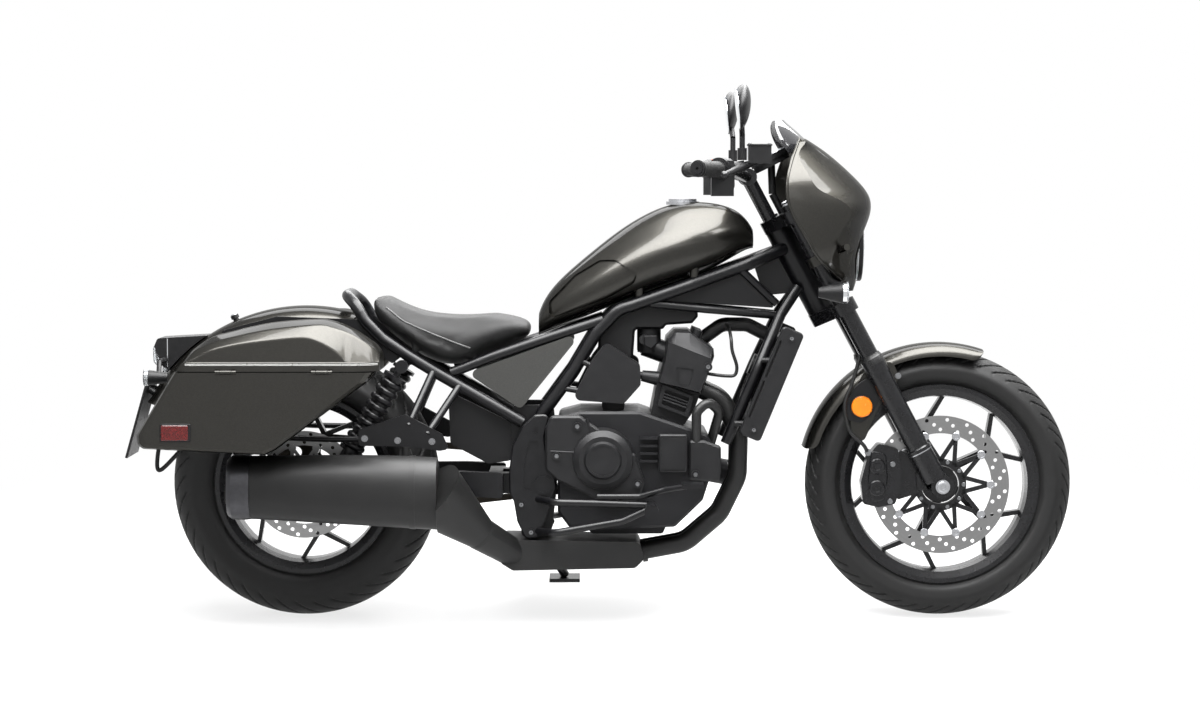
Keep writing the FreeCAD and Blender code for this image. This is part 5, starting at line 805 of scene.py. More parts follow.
@dataclass
class Saddle:
    """The padded saddle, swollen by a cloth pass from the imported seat, with its sewn seam."""

    voxel_m: float = 0.005
    reach_m: float = 0.009
    pressure: float = 3.0
    frames: int = 18
    welt_r: float = 1.9
    welt_lift_m: float = 0.0006
    seam: tuple[Point, ...] = (
        (203.0, -118.0, 760.0), (240.0, -129.0, 722.0), (300.0, -134.0, 690.0), (360.0, -133.0, 664.0),
        (410.0, -126.0, 645.0))

    def swollen(self) -> bpy.types.Object:
        """Copies the seat, remeshes it and lets cloth under pressure swell it within the reach."""
        source = frame["nodes"]["seat"]
        seat = bpy.data.objects.new("saddle", source.data.copy())
        bpy.context.scene.collection.objects.link(seat)
        seat.data.materials.clear()
        clean = bmesh.new()
        clean.from_mesh(seat.data)
        bmesh.ops.remove_doubles(clean, verts=clean.verts, dist=0.0001)
        clean.to_mesh(seat.data)
        clean.free()
        self.apply(seat, "REMESH", {"mode": "VOXEL", "voxel_size": self.voxel_m, "adaptivity": 0.0})
        self.apply(seat, "SMOOTH", {"factor": 0.6, "iterations": 12})
        self.simulate(seat)
        self.apply(seat, "SMOOTH", {"factor": 0.5, "iterations": 4})
        self.apply(seat, "SUBSURF", {"levels": 1, "render_levels": 1})
        return seat

    def apply(self, seat: bpy.types.Object, kind: str, settings: dict) -> None:
        """Adds a modifier, sets it and applies it to the mesh.

        Args:
            seat: The object.
            kind: The modifier's type.
            settings: Its properties.
        """
        modifier = seat.modifiers.new(kind.lower(), kind)
        for name, value in settings.items():
            setattr(modifier, name, value)
        self.bake(seat)

    def bake(self, seat: bpy.types.Object) -> None:
        """Replaces the mesh by its shape after all modifiers."""
        graph = bpy.context.evaluated_depsgraph_get()
        mesh = bpy.data.meshes.new_from_object(seat.evaluated_get(graph))
        seat.modifiers.clear()
        seat.data = mesh

    def simulate(self, seat: bpy.types.Object) -> None:
        """Runs the cloth and holds each point within the reach of where it began."""
        before = np.empty(len(seat.data.vertices) * 3)
        seat.data.vertices.foreach_get("co", before)
        cloth = seat.modifiers.new("cloth", "CLOTH")
        cloth.settings.use_pressure = True
        cloth.settings.uniform_pressure_force = self.pressure
        cloth.settings.effector_weights.gravity = 0.0
        cloth.settings.quality = 5
        scene = bpy.context.scene
        for number in range(1, self.frames + 1):
            scene.frame_set(number)
        self.bake(seat)
        scene.frame_set(1)
        after = np.empty_like(before)
        seat.data.vertices.foreach_get("co", after)
        step = (after - before).reshape(-1, 3)
        length = np.linalg.norm(step, axis=1, keepdims=True)
        step *= np.minimum(1.0, self.reach_m / np.maximum(length, 1e-9))
        seat.data.vertices.foreach_set("co", (before.reshape(-1, 3) + step).ravel())

    def stitch(self, seat: bpy.types.Object) -> None:
        """Lays the sewn welt of each side on the skin, at the skin's points nearest to the drawn line."""
        for side, name in ((1.0, "left"), (-1.0, "right")):
            line = curve([(x, side * abs(y), z) for x, y, z in self.seam], 90)
            found = [seat.closest_point_on_mesh(Vector(point)) for point in PARKING.place(line)]
            laid = np.array([place + self.welt_lift_m * normal for _, place, normal, _ in found])
            upright = (laid - PARKING.rear_axle) @ PARKING.turn / MM + PARKING.upright_axle
            welt = hose([tuple(point) for point in upright[::6]], self.welt_r, 100, 8)
            make_piece(f"saddle_welt_{name}", welt, THREAD, Body.CHASSIS)

    def build(self) -> None:
        """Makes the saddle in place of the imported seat."""
        seat = self.swollen()
        seat.data.materials.clear()
        seat.data.materials.append(VINYL.build())
        seat.data.shade_smooth()
        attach(seat, Body.CHASSIS.value)
        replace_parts(seat, "seat")
        self.stitch(seat)
        LOG.info("saddle: %d points", len(seat.data.vertices))


# Tyres

@dataclass
class Tyre:
    """A radial tyre: crown arc, shoulders, sidewalls with a bead line, and curved grooves in the tread."""

    name: str
    node: str
    body: Body
    centre: Point
    outer_r: float
    half: float
    crown: float
    bead_r: float
    rim_half: float
    grooves: int
    sweep: float
    tread_drop: float = 14.0
    crown_spread: float = math.radians(50.0)
    depth: float = 4.2
    around: int = 720

    def section(self) -> np.ndarray:
        """Points of the section as y and radius, from the right bead over the crown to the left bead."""
        edge_y = self.crown * math.sin(self.crown_spread)
        edge_r = self.outer_r - self.crown + self.crown * math.cos(self.crown_spread)
        belly_r = self.bead_r + (edge_r - self.bead_r) * 0.5
        turn = np.linspace(0, self.crown_spread, 26)
        crown_r = self.outer_r - self.crown + self.crown * np.cos(turn)
        crown = np.stack([self.crown * np.sin(turn), crown_r], axis=-1)
        wall = curve([(edge_y, edge_r), (self.half * 0.985, belly_r + (edge_r - belly_r) * 0.45),
                      (self.half, belly_r), (self.half * 0.95, belly_r - (belly_r - self.bead_r) * 0.55),
                      (self.rim_half - 3.0, self.bead_r + 4.0), (self.rim_half - 5.5, self.bead_r + 0.5),
                      (self.rim_half - 8.0, self.bead_r - 9.0)], 22)
        left = np.vstack([crown, wall[1:]])
        return np.vstack([left[::-1] * np.array([-1.0, 1.0]), left[1:]])

    def groove_depth(self, turn: np.ndarray, across: np.ndarray) -> np.ndarray:
        """Depth of the tread: arcs that start near the middle and bend back to the shoulder.

        Each side has its own set, staggered by half a pitch. An arc's place round the tyre lags by the sweep
        times the share of the half width to the power 1.8, and its depth falls with the fourth power of the
        distance from its middle.

        Args:
            turn: Angle about the axle.
            across: Signed share of the crown's half width.

        Returns:
            Depth in mm.
        """
        share = np.abs(across)
        side = np.where(across > 0, 0.5, 0.0)
        bend = self.sweep * (share ** 1.8)
        phase = np.mod(turn / (2 * math.pi) * self.grooves + side - bend, 1.0)
        width = 0.045 + 0.03 * share
        near = np.minimum(phase, 1.0 - phase)
        line = np.clip(1.0 - (near / width) ** 4, 0.0, 1.0)
        reach = np.clip((share - 0.1) / 0.08, 0.0, 1.0) * np.clip((1.08 - share) / 0.12, 0.0, 1.0)
        return self.depth * line * reach

    def surface(self) -> Surface:
        """The section carried round the axle, lowered along its own normal by the groove depth."""
        section = self.section()
        slope = unit(np.gradient(section, axis=0))
        outward = np.stack([-slope[:, 1], slope[:, 0]], axis=-1)
        outward *= np.sign(outward[len(outward) // 2, 1])
        turn = np.linspace(0, 2 * math.pi, self.around, endpoint=False)
        across = section[:, 0] / (self.crown * math.sin(self.crown_spread))
        edge_r = self.outer_r - self.crown * (1 - math.cos(self.crown_spread))
        on_tread = section[:, 1] > edge_r - self.tread_drop
        depth = self.groove_depth(turn[:, None], across[None, :]) * on_tread[None, :]
        y = section[None, :, 0] - outward[None, :, 0] * depth
        radius = section[None, :, 1] - outward[None, :, 1] * depth
        points = np.stack([radius * np.cos(turn)[:, None], y, radius * np.sin(turn)[:, None]], axis=-1)
        return grid(points + np.array(self.centre), loop=False, ring=True, caps=False)

    def build(self) -> None:
        """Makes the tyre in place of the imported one."""
        piece = make_piece(self.name, self.surface(), RUBBER, self.body, 42.0)
        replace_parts(piece, self.node)


# Luggage

# Edges of a lid in side view, as x and z: the panel's top, the bevel's top and the lid's ridge.
PANEL_TOP = ((-266.0, 609.0), (-249.8, 628.0), (-223.8, 637.9), (-200.6, 650.6), (-175.3, 661.1),
             (-116.2, 673.8), (-31.8, 684.3), (29.4, 688.6), (61.0, 680.1), (94.8, 661.1), (115.9, 642.0),
             (128.0, 632.0), (199.5, 631.5))
BEVEL_TOP = ((-266.0, 609.0), (-250.0, 629.0), (-241.4, 638.8), (-216.0, 660.0), (-161.0, 681.1),
             (-76.3, 700.2), (8.3, 711.6), (63.3, 715.0), (92.9, 708.7), (135.3, 693.8), (177.6, 668.4),
             (194.5, 655.7), (199.5, 645.0))
RIDGE_TOP = ((-266.0, 610.5), (-251.2, 630.5), (-234.1, 653.5), (-191.6, 683.3), (-149.0, 696.1),
             (-97.9, 708.8), (-38.3, 719.5), (51.1, 725.9), (89.4, 721.6), (132.0, 704.6), (174.5, 676.9),
             (191.6, 662.0), (199.5, 648.0))
# Outer half width of a lid along x.
LID_PLAN = ((-266.0, 374.0), (-262.0, 380.0), (-256.0, 391.0), (-246.0, 398.0), (-235.0, 400.0),
            (135.0, 400.0), (160.0, 394.0), (178.0, 385.0), (190.0, 374.0), (199.5, 362.0))
SEAM_Z = 609.0
HINGE_X = (-150.0, 70.0)
HINGE_Y = 400.0
HINGE_Z = 608.0
HINGE_NOTCH = 24.8


def along_curve(corners: tuple[Pair, ...], x: np.ndarray) -> np.ndarray:
    """Heights at x of the smooth line through the corners."""
    dense = curve(list(corners), 160)
    return np.interp(x, np.maximum.accumulate(dense[:, 0]), dense[:, 1])


def plan_width(x: np.ndarray) -> np.ndarray:
    """Outer half width of a lid at x: the plan averaged over 16 mm, so that its corners run smoothly."""
    places, widths = np.array(LID_PLAN).T
    return np.mean([np.interp(x + shift, places, widths) for shift in np.linspace(-8.0, 8.0, 17)], axis=0)


@dataclass
class Lid:
    """A bag lid as a thin shell: a proud belt, an upright panel, a broad bevel and a low ridge."""

    side: str
    body: Body
    wall: float = 4.0
    inner_y: float = 210.0
    belt_z: float = 631.0
    belt_edge: float = 1.5
    belt_proud: float = 1.2
    bevel_in: float = 24.0
    ridge_in: float = 62.0
    bend: float = 5.0
    bend_points: int = 4
    stations: int = 120
    stripes: tuple[Pair, ...] = ((623.2, 624.5), (625.7, 627.6))
    stripe_ends: Pair = (-243.0, 196.0)
    stripe_proud: float = 0.35

    def section(self, x: np.ndarray) -> np.ndarray:
        """Half sections at each x: heights never rise above the ridge, so the lid's ends close to the seam.

        Args:
            x: Places along the lid.

        Returns:
            Array of places, corners and (y, z), from the outer seam over the ridge to the inner seam.
        """
        y = plan_width(x)
        ridge = along_curve(RIDGE_TOP, x)
        bevel = np.minimum(along_curve(BEVEL_TOP, x), ridge)
        panel = np.minimum(along_curve(PANEL_TOP, x), bevel)
        belt = np.minimum(self.belt_z, panel)
        rise = ridge - SEAM_Z
        near_hinge = np.min(np.abs(x[:, None] - np.array(HINGE_X)), axis=1) < HINGE_NOTCH
        foot = np.where(near_hinge, np.minimum(SEAM_Z + 5.5, ridge), SEAM_Z)
        inner = np.full_like(x, self.inner_y)
        corners = [
            (y + self.belt_proud, foot),
            (y + self.belt_proud, np.minimum(self.belt_z - self.belt_edge, belt)),
            (y, belt),
            (y, panel),
            (y - self.bevel_in, bevel),
            (y - self.ridge_in, ridge),
            (y - 100.0, ridge + 0.5 * np.minimum(rise / 20.0, 1.0)),
            (inner + 20.0, ridge - 0.1 * np.minimum(rise, 40.0)),
            (inner + 2.0, ridge - 0.3 * np.minimum(rise, 50.0)),
            (inner, np.full_like(x, SEAM_Z)),
        ]
        path = np.stack([np.stack(pair, axis=-1) for pair in corners], axis=1)
        eased = rounded(path, self.bend, self.bend_points)[:, self.bend_points:-self.bend_points]
        return np.concatenate([path[:, :1], eased, path[:, -1:]], axis=1)

    def inner_section(self, x: np.ndarray) -> np.ndarray:
        """The section inside the wall: narrowed about its middle and lowered, its foot left at the seam.

        Args:
            x: Places along the lid.

        Returns:
            Array of places, corners and (y, z), like the outer section's.
        """
        inner = self.section(x)
        middle = (inner[:, :1, 0] + self.inner_y) / 2
        inner[..., 0] = middle + (inner[..., 0] - middle) * (1 - self.wall / (middle - self.inner_y))
        height = np.max(inner[..., 1], axis=1, keepdims=True) - SEAM_Z
        share = np.clip((height - self.wall - 1.0) / np.maximum(height, 1.0), 0.02, 1.0)
        inner[:, 1:, 1] = SEAM_Z + (inner[:, 1:, 1] - SEAM_Z) * share
        return inner

    def surface(self) -> Surface:
        """Outer skin, inner skin, the rim that joins them at the seam, and both ends."""
        low = RIDGE_TOP[0][0]
        high = RIDGE_TOP[-1][0]
        notches = [hinge + way * HINGE_NOTCH for hinge in HINGE_X for way in (-1.001, -0.999, 0.999, 1.001)]
        x = np.unique(np.concatenate([np.linspace(low, high, self.stations), notches]))
        x_in = low + self.wall + (x - low) * (high - low - 2 * self.wall) / (high - low)
        skins = []
        for place, skin in ((x, self.section(x)), (x_in, self.inner_section(x_in))):
            across = np.broadcast_to(place[:, None], skin.shape[:2])
            skins.append(np.stack([across, skin[..., 0], skin[..., 1]], axis=-1))
        shell = grid(skins[0], loop=False, caps=False) + grid(skins[1], loop=False, caps=False)
        rows, columns = skins[0].shape[:2]
        index = np.arange(2 * rows * columns).reshape(2, rows, columns)
        for column in (0, -1):
            outer, inner = index[:, :, column]
            rim = np.stack([outer[:-1], outer[1:], inner[1:], inner[:-1]], axis=-1)
            shell.faces += [tuple(quad) for quad in rim.tolist()]
        for row in (0, -1):
            shell.faces += [tuple(index[skin, row].tolist()) for skin in (0, 1)]
            ends = index[:, row]
            shell.faces.append((int(ends[0, 0]), int(ends[0, -1]), int(ends[1, -1]), int(ends[1, 0])))
        return shell

    def hinges(self) -> Surface:
        """The lid's knuckles and the webs that carry them."""
        knuckle = turned([(-13.4, 4.0), (-13.0, 4.5), (13.0, 4.5), (13.4, 4.0)], (0.0, HINGE_Y, HINGE_Z),
                         AHEAD, 20)
        web = plate([(-13.0, 608.5), (13.0, 608.5), (13.0, 617.0), (-13.0, 617.0)], HINGE_Y - 4.0,
                    HINGE_Y + 1.0, 0.4)
        return together([(knuckle + web).moved((x, 0.0, 0.0)) for x in HINGE_X])

    def pinstripe(self) -> Surface:
        """Two thin raised lines along the belt's face, from end to end."""
        x = np.linspace(*self.stripe_ends, 120)
        y = plan_width(x) + self.belt_proud
        lines = []
        for low, high in self.stripes:
            ring = [(y - 0.6, low), (y + self.stripe_proud, low), (y + self.stripe_proud, high),
                    (y - 0.6, high)]
            columns = [np.stack([x, reach, np.full_like(x, z)], axis=-1) for reach, z in ring]
            lines.append(grid(np.stack(columns, axis=1)))
        return together(lines)

    def build(self) -> None:
        """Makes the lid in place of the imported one."""
        lid = self.surface() + self.hinges()
        line = self.pinstripe()
        if self.side == "right":
            lid = lid.mirrored()
            line = line.mirrored()
        shell = make_piece(f"lid_{self.side}_shell", lid, PAINT, self.body, 24.0)
        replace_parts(shell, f"lid_{self.side}")
        make_piece(f"lid_{self.side}_pinstripe", line, SILVER_LINE, self.body)


@dataclass
class LuggageTrim:
    """Side reflectors, lower stay loops and the bolts of the hangers."""

    surround: tuple[Pair, ...] = ((-301.0, 448.0), (-230.0, 448.0), (-230.0, 490.0), (-301.0, 490.0))
    lens: tuple[Pair, ...] = ((-298.0, 451.5), (-236.5, 451.5), (-236.5, 486.4), (-298.0, 486.4))
    stay: tuple[Pair, ...] = ((-318.0, 440.0), (-329.0, 418.0), (-333.0, 375.0), (-322.0, 369.0),
                              (-284.0, 407.0), (-270.0, 424.0))
    hanger_bolts: tuple[Pair, ...] = ((231.5, 436.4), (312.0, 434.0), (154.0, 441.0))
    hanger_y: float = 212.0

    def build(self) -> None:
        """Makes the trim of both sides."""
        surround = plate(rounded(list(self.surround), 4.0), 399.0, 403.5, 1.0)
        lens = plate(rounded(list(self.lens), 3.0), 402.0, 405.5, 1.4)
        loop = hose([(x, self.hanger_y, z) for x, z in self.stay], 5.0, 40)
        spots = [(x, self.hanger_y, z) for x, z in self.hanger_bolts]
        bolts = scattered(hex_nut(7.5, 5.0), spots, LEFT)
        for trim in (Trim("reflector_surround", surround, MOULDED, "moulded_black"),
                     Trim("reflector", lens, RED_LENS, "lamp_red"),
                     Trim("stay_loop", loop, POWDER_COAT, "frame_black"),
                     Trim("hanger_bolts", bolts, BOLT_STEEL, "machined_alloy")):
            trim.make_pair(Body.CHASSIS)


# Silencer

@dataclass
class SilencerCap:
    """The bare tail cap: oval rings of the exponent 2.3, drawn from absolute cosines and sines."""

    centre: Pair = (-258.0, 331.0)
    power: float = 2.0 / 2.3
    rows: tuple[Point, ...] = (
        (-107.0, 71.0, 62.0), (-108.0, 74.8, 65.6), (-122.0, 75.9, 66.3), (-150.0, 74.6, 65.4),
        (-158.5, 68.8, 59.8), (-160.8, 66.0, 57.0), (-160.4, 62.0, 53.0), (-158.0, 60.0, 51.0),
        (-140.0, 68.0, 59.0))

    def build(self) -> None:
        """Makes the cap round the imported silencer's end."""
        shape = np.array(self.rows)
        turn = np.linspace(0, 2 * math.pi, 72, endpoint=False)[None]
        y = self.centre[0] + shape[:, 2:] * np.sign(np.cos(turn)) * np.abs(np.cos(turn)) ** self.power
        z = self.centre[1] + shape[:, 1:2] * np.sign(np.sin(turn)) * np.abs(np.sin(turn)) ** self.power
        points = np.stack([np.broadcast_to(shape[:, :1], y.shape), y, z], axis=-1)
        cap = grid(points, ring=True, caps=False)
        make_piece("silencer_cap", cap, CAP_STEEL, Body.CHASSIS, 30.0)


# Front end

RAKE = math.radians(28.0)
FORK_UP = np.array([-math.sin(RAKE), 0.0, math.cos(RAKE)])
FORK_BASE = np.array([1513.9, 0.0, 316.4])
FORK_Y = 107.0


def on_fork(up: float, y: float = FORK_Y) -> Point:
    """A point on a fork leg's centre line at a distance up it."""
    place = FORK_BASE + FORK_UP * up
    return (float(place[0]), y, float(place[2]))


# Fenders

@dataclass
class Fender:
    """A sheet steel fender: a section rounded as an oval of the exponent 2.6, turned about the axle.

    Its two tips are drawn in so that their corners are round.
    """

    name: str
    node: str
    body: Body
    centre: Pair
    outer_r: float
    half: float
    drop: float
    turn_from: float
    turn_to: float
    wall: float = 3.5
    power: float = 2.0 / 2.6
    tip_r: float = 26.0

    def skin(self, inset: float, turn: np.ndarray) -> np.ndarray:
        """One skin's points: rows along the fender, columns across it.

        Args:
            inset: Distance inside the outer skin.
            turn: Angles of the rows.

        Returns:
            Array of rows, columns and x, y, z.
        """
        across = np.linspace(0.0, math.pi, 41)[None]
        ends = np.minimum(turn - turn[0], turn[-1] - turn)[:, None] * self.outer_r
        tip = np.sqrt(np.clip(1.0 - (1.0 - np.clip(ends / self.tip_r, 0.0, 1.0)) ** 2, 0.0, 1.0))
        foot = self.outer_r - self.drop * (0.25 + 0.75 * tip)
        reach = (self.half - inset) * (0.88 + 0.12 * tip)
        y = reach * np.sign(np.cos(across)) * np.abs(np.cos(across)) ** self.power
        radius = foot + (self.outer_r - inset - foot) * np.sin(across) ** self.power
        return np.stack([self.centre[0] + radius * np.cos(turn)[:, None], y,
                         self.centre[1] + radius * np.sin(turn)[:, None]], axis=-1)

    def surface(self) -> Surface:
        """Outer and inner skins joined along both edges and closed at both tips."""
        turn = np.radians(np.linspace(self.turn_from, self.turn_to, 110))
        return grid(np.concatenate([self.skin(0.0, turn), self.skin(self.wall, turn)[:, ::-1]], axis=1))

    def extras(self) -> Surface | None:
        """Pieces that the fender carries."""
        return None

    def build(self) -> None:
        """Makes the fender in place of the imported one."""
        shell = self.surface()
        extras = self.extras()
        if extras:
            shell = shell + extras
        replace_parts(make_piece(self.name, shell, PAINT, self.body, 30.0), self.node)


@dataclass
class FrontFender(Fender):
    """The front fender with the plates that hold it between the fork legs."""

    bracket: tuple[Pair, ...] = ((286.0, -86.0), (330.0, -20.0), (318.0, 44.0), (270.0, 40.0),
                                 (238.0, -30.0), (176.0, -108.0), (206.0, -128.0))

    def extras(self) -> Surface:
        """Both bracket plates, drawn along the fork and square to it, and their bosses."""
        ahead = np.array([math.cos(RAKE), 0.0, math.sin(RAKE)])
        outline = [FORK_BASE + FORK_UP * up + ahead * out for up, out in self.bracket]
        bracket = plate(rounded([(point[0], point[2]) for point in outline], 14.0), 72.0, 76.5, 1.0)
        boss_at = FORK_BASE + FORK_UP * 292.0 + ahead * 10.0
        boss = turned([(0.0, 9.0), (9.0, 9.0), (10.0, 8.0)], (boss_at[0], 76.0, boss_at[2]), LEFT, 24)
        return bracket + boss + bracket.mirrored() + boss.mirrored()


@dataclass
class ForkTrim:
    """Bands, seals and caps of the fork, its reflectors, brake hose, axle ends and fender bolts."""

    bracket: tuple[Pair, ...] = ((1342.6, 577.0), (1395.0, 545.0), (1375.9, 529.0), (1354.5, 489.0),
                                 (1328.0, 468.0), (1295.0, 477.0), (1290.0, 515.0), (1314.0, 556.0))
    reflector: Point = (1330.0, 93.5, 508.0)
    brake_line: tuple[Point, ...] = (
        (1325.6, -105.0, 643.6), (1318.5, -105.0, 608.0), (1304.3, -105.0, 560.6), (1291.0, -105.0, 527.4),
        (1288.7, -105.0, 496.5), (1302.0, -104.0, 449.0), (1332.8, -103.0, 418.0), (1343.0, -101.0, 401.0))
    bridge: tuple[Pair, ...] = ((1352.0, 404.0), (1388.0, 396.0), (1392.0, 340.0), (1386.0, 286.0),
                                (1356.0, 280.0), (1344.0, 330.0))

    def leg_trim(self) -> list[Trim]:
        """Bands, seals and caps turned about the left leg's own line."""
        up = tuple(FORK_UP)
        band = turned([(-1.6, 27.0), (-1.2, 28.9), (1.2, 28.9), (1.6, 27.0)], on_fork(96.0), up, 40)
        foot = turned([(2.2, 27.0), (2.6, 30.0), (9.0, 30.0), (12.0, 27.0)], on_fork(96.0), up, 40)
        seal = turned([(-16.0, 25.5), (-15.0, 28.0), (-1.0, 28.0), (1.0, 26.8), (6.0, 24.6), (9.0, 24.0),
                       (9.5, 21.0)], on_fork(348.0), up, 40)
        cap = turned([(-1.0, 18.0), (2.0, 18.0), (3.5, 16.5), (3.5, 11.0), (1.0, 10.5), (1.0, 0.0)],
                     on_fork(764.0), up, 32)
        return [Trim("fork_joint_band", band, ALLOY, "machined_alloy"),
                Trim("fork_foot_collar", foot, FORK_COAT, "fork_black"),
                Trim("fork_dust_seal", seal, HOSE, "hose_rubber"),
                Trim("fork_cap", cap, ALLOY, "machined_alloy")]

    def side_trim(self) -> list[Trim]:
        """The left axle end, the reflector on its bracket and the fender's bolts."""
        axle = scattered(socket_screw(13.0, 4.5, 24), [(WHEELBASE, 133.6, FRONT_AXLE_HEIGHT)], LEFT)
        bracket = plate(rounded(list(self.bracket), 8.0), 88.0, 92.0, 0.8)
        lens = turned([(0.0, 25.0), (4.0, 25.0), (6.2, 22.5), (6.5, 0.0)], self.reflector, LEFT, 40)
        rim = turned([(-2.0, 26.8), (2.8, 26.8), (3.4, 26.2), (3.4, 20.0)], self.reflector, LEFT, 40)
        bolts = scattered(hex_nut(7.0, 5.0), [(1417.7, 76.0, 580.3), (1385.0, 91.5, 556.0)], LEFT)
        return [Trim("axle_end", axle, ALLOY, "machined_alloy"),
                Trim("reflector_bracket", bracket, POWDER_COAT, "frame_black"),
                Trim("fork_reflector", lens, AMBER_LENS, "lamp_red"),
                Trim("fork_reflector_rim", rim, MOULDED, "moulded_black"),
                Trim("front_fender_bolts", bolts, BOLT_STEEL, "machined_alloy")]

    def caliper(self) -> list[Trim]:
        """The caliper's bridge with its two piston chambers, and the hose fitting and pins on it."""
        bridge = plate(rounded(list(self.bridge), 9.0), -103.0, -96.0, 2.5)
        chamber = turned([(0.0, 19.0), (5.0, 19.0), (7.5, 16.5), (7.5, 9.0), (6.0, 8.0), (6.0, 0.0)], ORIGIN,
                         UP, 32)
        chambers = scattered(chamber, [(1367.0, -102.0, 366.0), (1366.0, -102.0, 314.0)], RIGHT)
        fitting = scattered(hex_nut(8.0, 6.0), [(1345.0, -98.0, 399.0)], RIGHT)
        pins = scattered(socket_screw(6.5, 5.0, 24), [(1404.0, -98.0, 371.0), (1398.0, -98.0, 282.0)],
                         RIGHT)
        return [Trim("front_caliper_body", bridge + chambers, FORK_COAT, "fork_black"),
                Trim("front_caliper_screws", fitting + pins, BOLT_STEEL, "machined_alloy")]

    def build(self) -> None:
        """Makes both sides' trim and the right side's brake."""
        for trim in self.leg_trim() + self.side_trim():
            trim.make_pair(Body.STEERING)
        line = hose(list(self.brake_line), 4.5, 60)
        for trim in [Trim("front_brake_hose", line, HOSE, "hose_rubber")] + self.caliper():
            trim.make(Body.STEERING)


@dataclass
class FairingTrim:
    """The fairing's rolled rear edge, the headlamp's optics and the front signals' lenses."""

    edge: tuple[Point, ...] = (
        (1294.0, 60.0, 782.0), (1282.0, 104.0, 806.0), (1252.0, 164.0, 832.0), (1216.0, 212.0, 866.0),
        (1192.0, 236.0, 905.0), (1170.0, 244.0, 940.0), (1153.0, 247.0, 972.0), (1143.0, 247.0, 1005.0),
        (1143.0, 238.0, 1047.0), (1154.0, 208.0, 1090.0), (1166.0, 172.0, 1120.0), (1178.0, 122.0, 1145.0))
    lamp: Point = (1326.0, 0.0, 893.0)
    signal: Point = (1284.0, 174.0, 783.0)

    def optics(self) -> list[Trim]:
        """The headlamp's rings from the bezel in, all turned about its own axis."""
        bezel = turned([(-3.0, 88.5), (5.0, 88.5), (7.5, 86.0), (7.5, 81.0), (3.0, 78.0), (0.3, 77.0)],
                       self.lamp, AHEAD, 64)
        bowl = turned([(0.3, 79.0), (2.4, 77.0), (0.9, 66.0), (0.7, 56.0), (4.5, 51.0), (2.0, 42.0),
                       (0.8, 32.0)], self.lamp, AHEAD, 64)
        projector = turned([(0.5, 31.0), (6.0, 31.0), (7.5, 28.0), (6.5, 26.0), (8.5, 23.0), (10.5, 16.0),
                            (11.5, 8.0), (11.8, 0.0)], self.lamp, AHEAD, 48)
        glass = turned([(4.5, 83.5), (8.0, 81.0), (11.0, 64.0), (13.2, 40.0), (14.0, 0.0), (12.4, 0.0),
                        (11.6, 40.0), (9.2, 64.0), (6.4, 79.0), (3.6, 81.5)], self.lamp, AHEAD, 64)
        return [Trim("headlamp_bezel", bezel, MOULDED, "moulded_black"),
                Trim("headlamp_bowl", bowl, CHROME, "machined_alloy"),
                Trim("headlamp_projector", projector, CHROME, "machined_alloy"),
                Trim("headlamp_glass", glass, CLEAR, "lamp_clear")]

    def build(self) -> None:
        """Makes the optics, the edge and the lenses."""
        for trim in self.optics():
            trim.make(Body.STEERING)
        lip = hose(list(self.edge), 3.6, 90, 10)
        lens = turned([(-1.0, 25.5), (4.0, 25.5), (7.0, 22.5), (7.6, 0.0)], self.signal, AHEAD, 40)
        rim = turned([(-7.0, 27.6), (2.0, 27.6), (3.0, 26.6), (3.0, 24.0)], self.signal, AHEAD, 40)
        for trim in (Trim("fairing_lip", lip, PAINT, "paint_bronze"),
                     Trim("front_signal_lens", lens, CLEAR, "lamp_clear"),
                     Trim("front_signal_rim", rim, CHROME, "machined_alloy")):
            trim.make_pair(Body.STEERING)


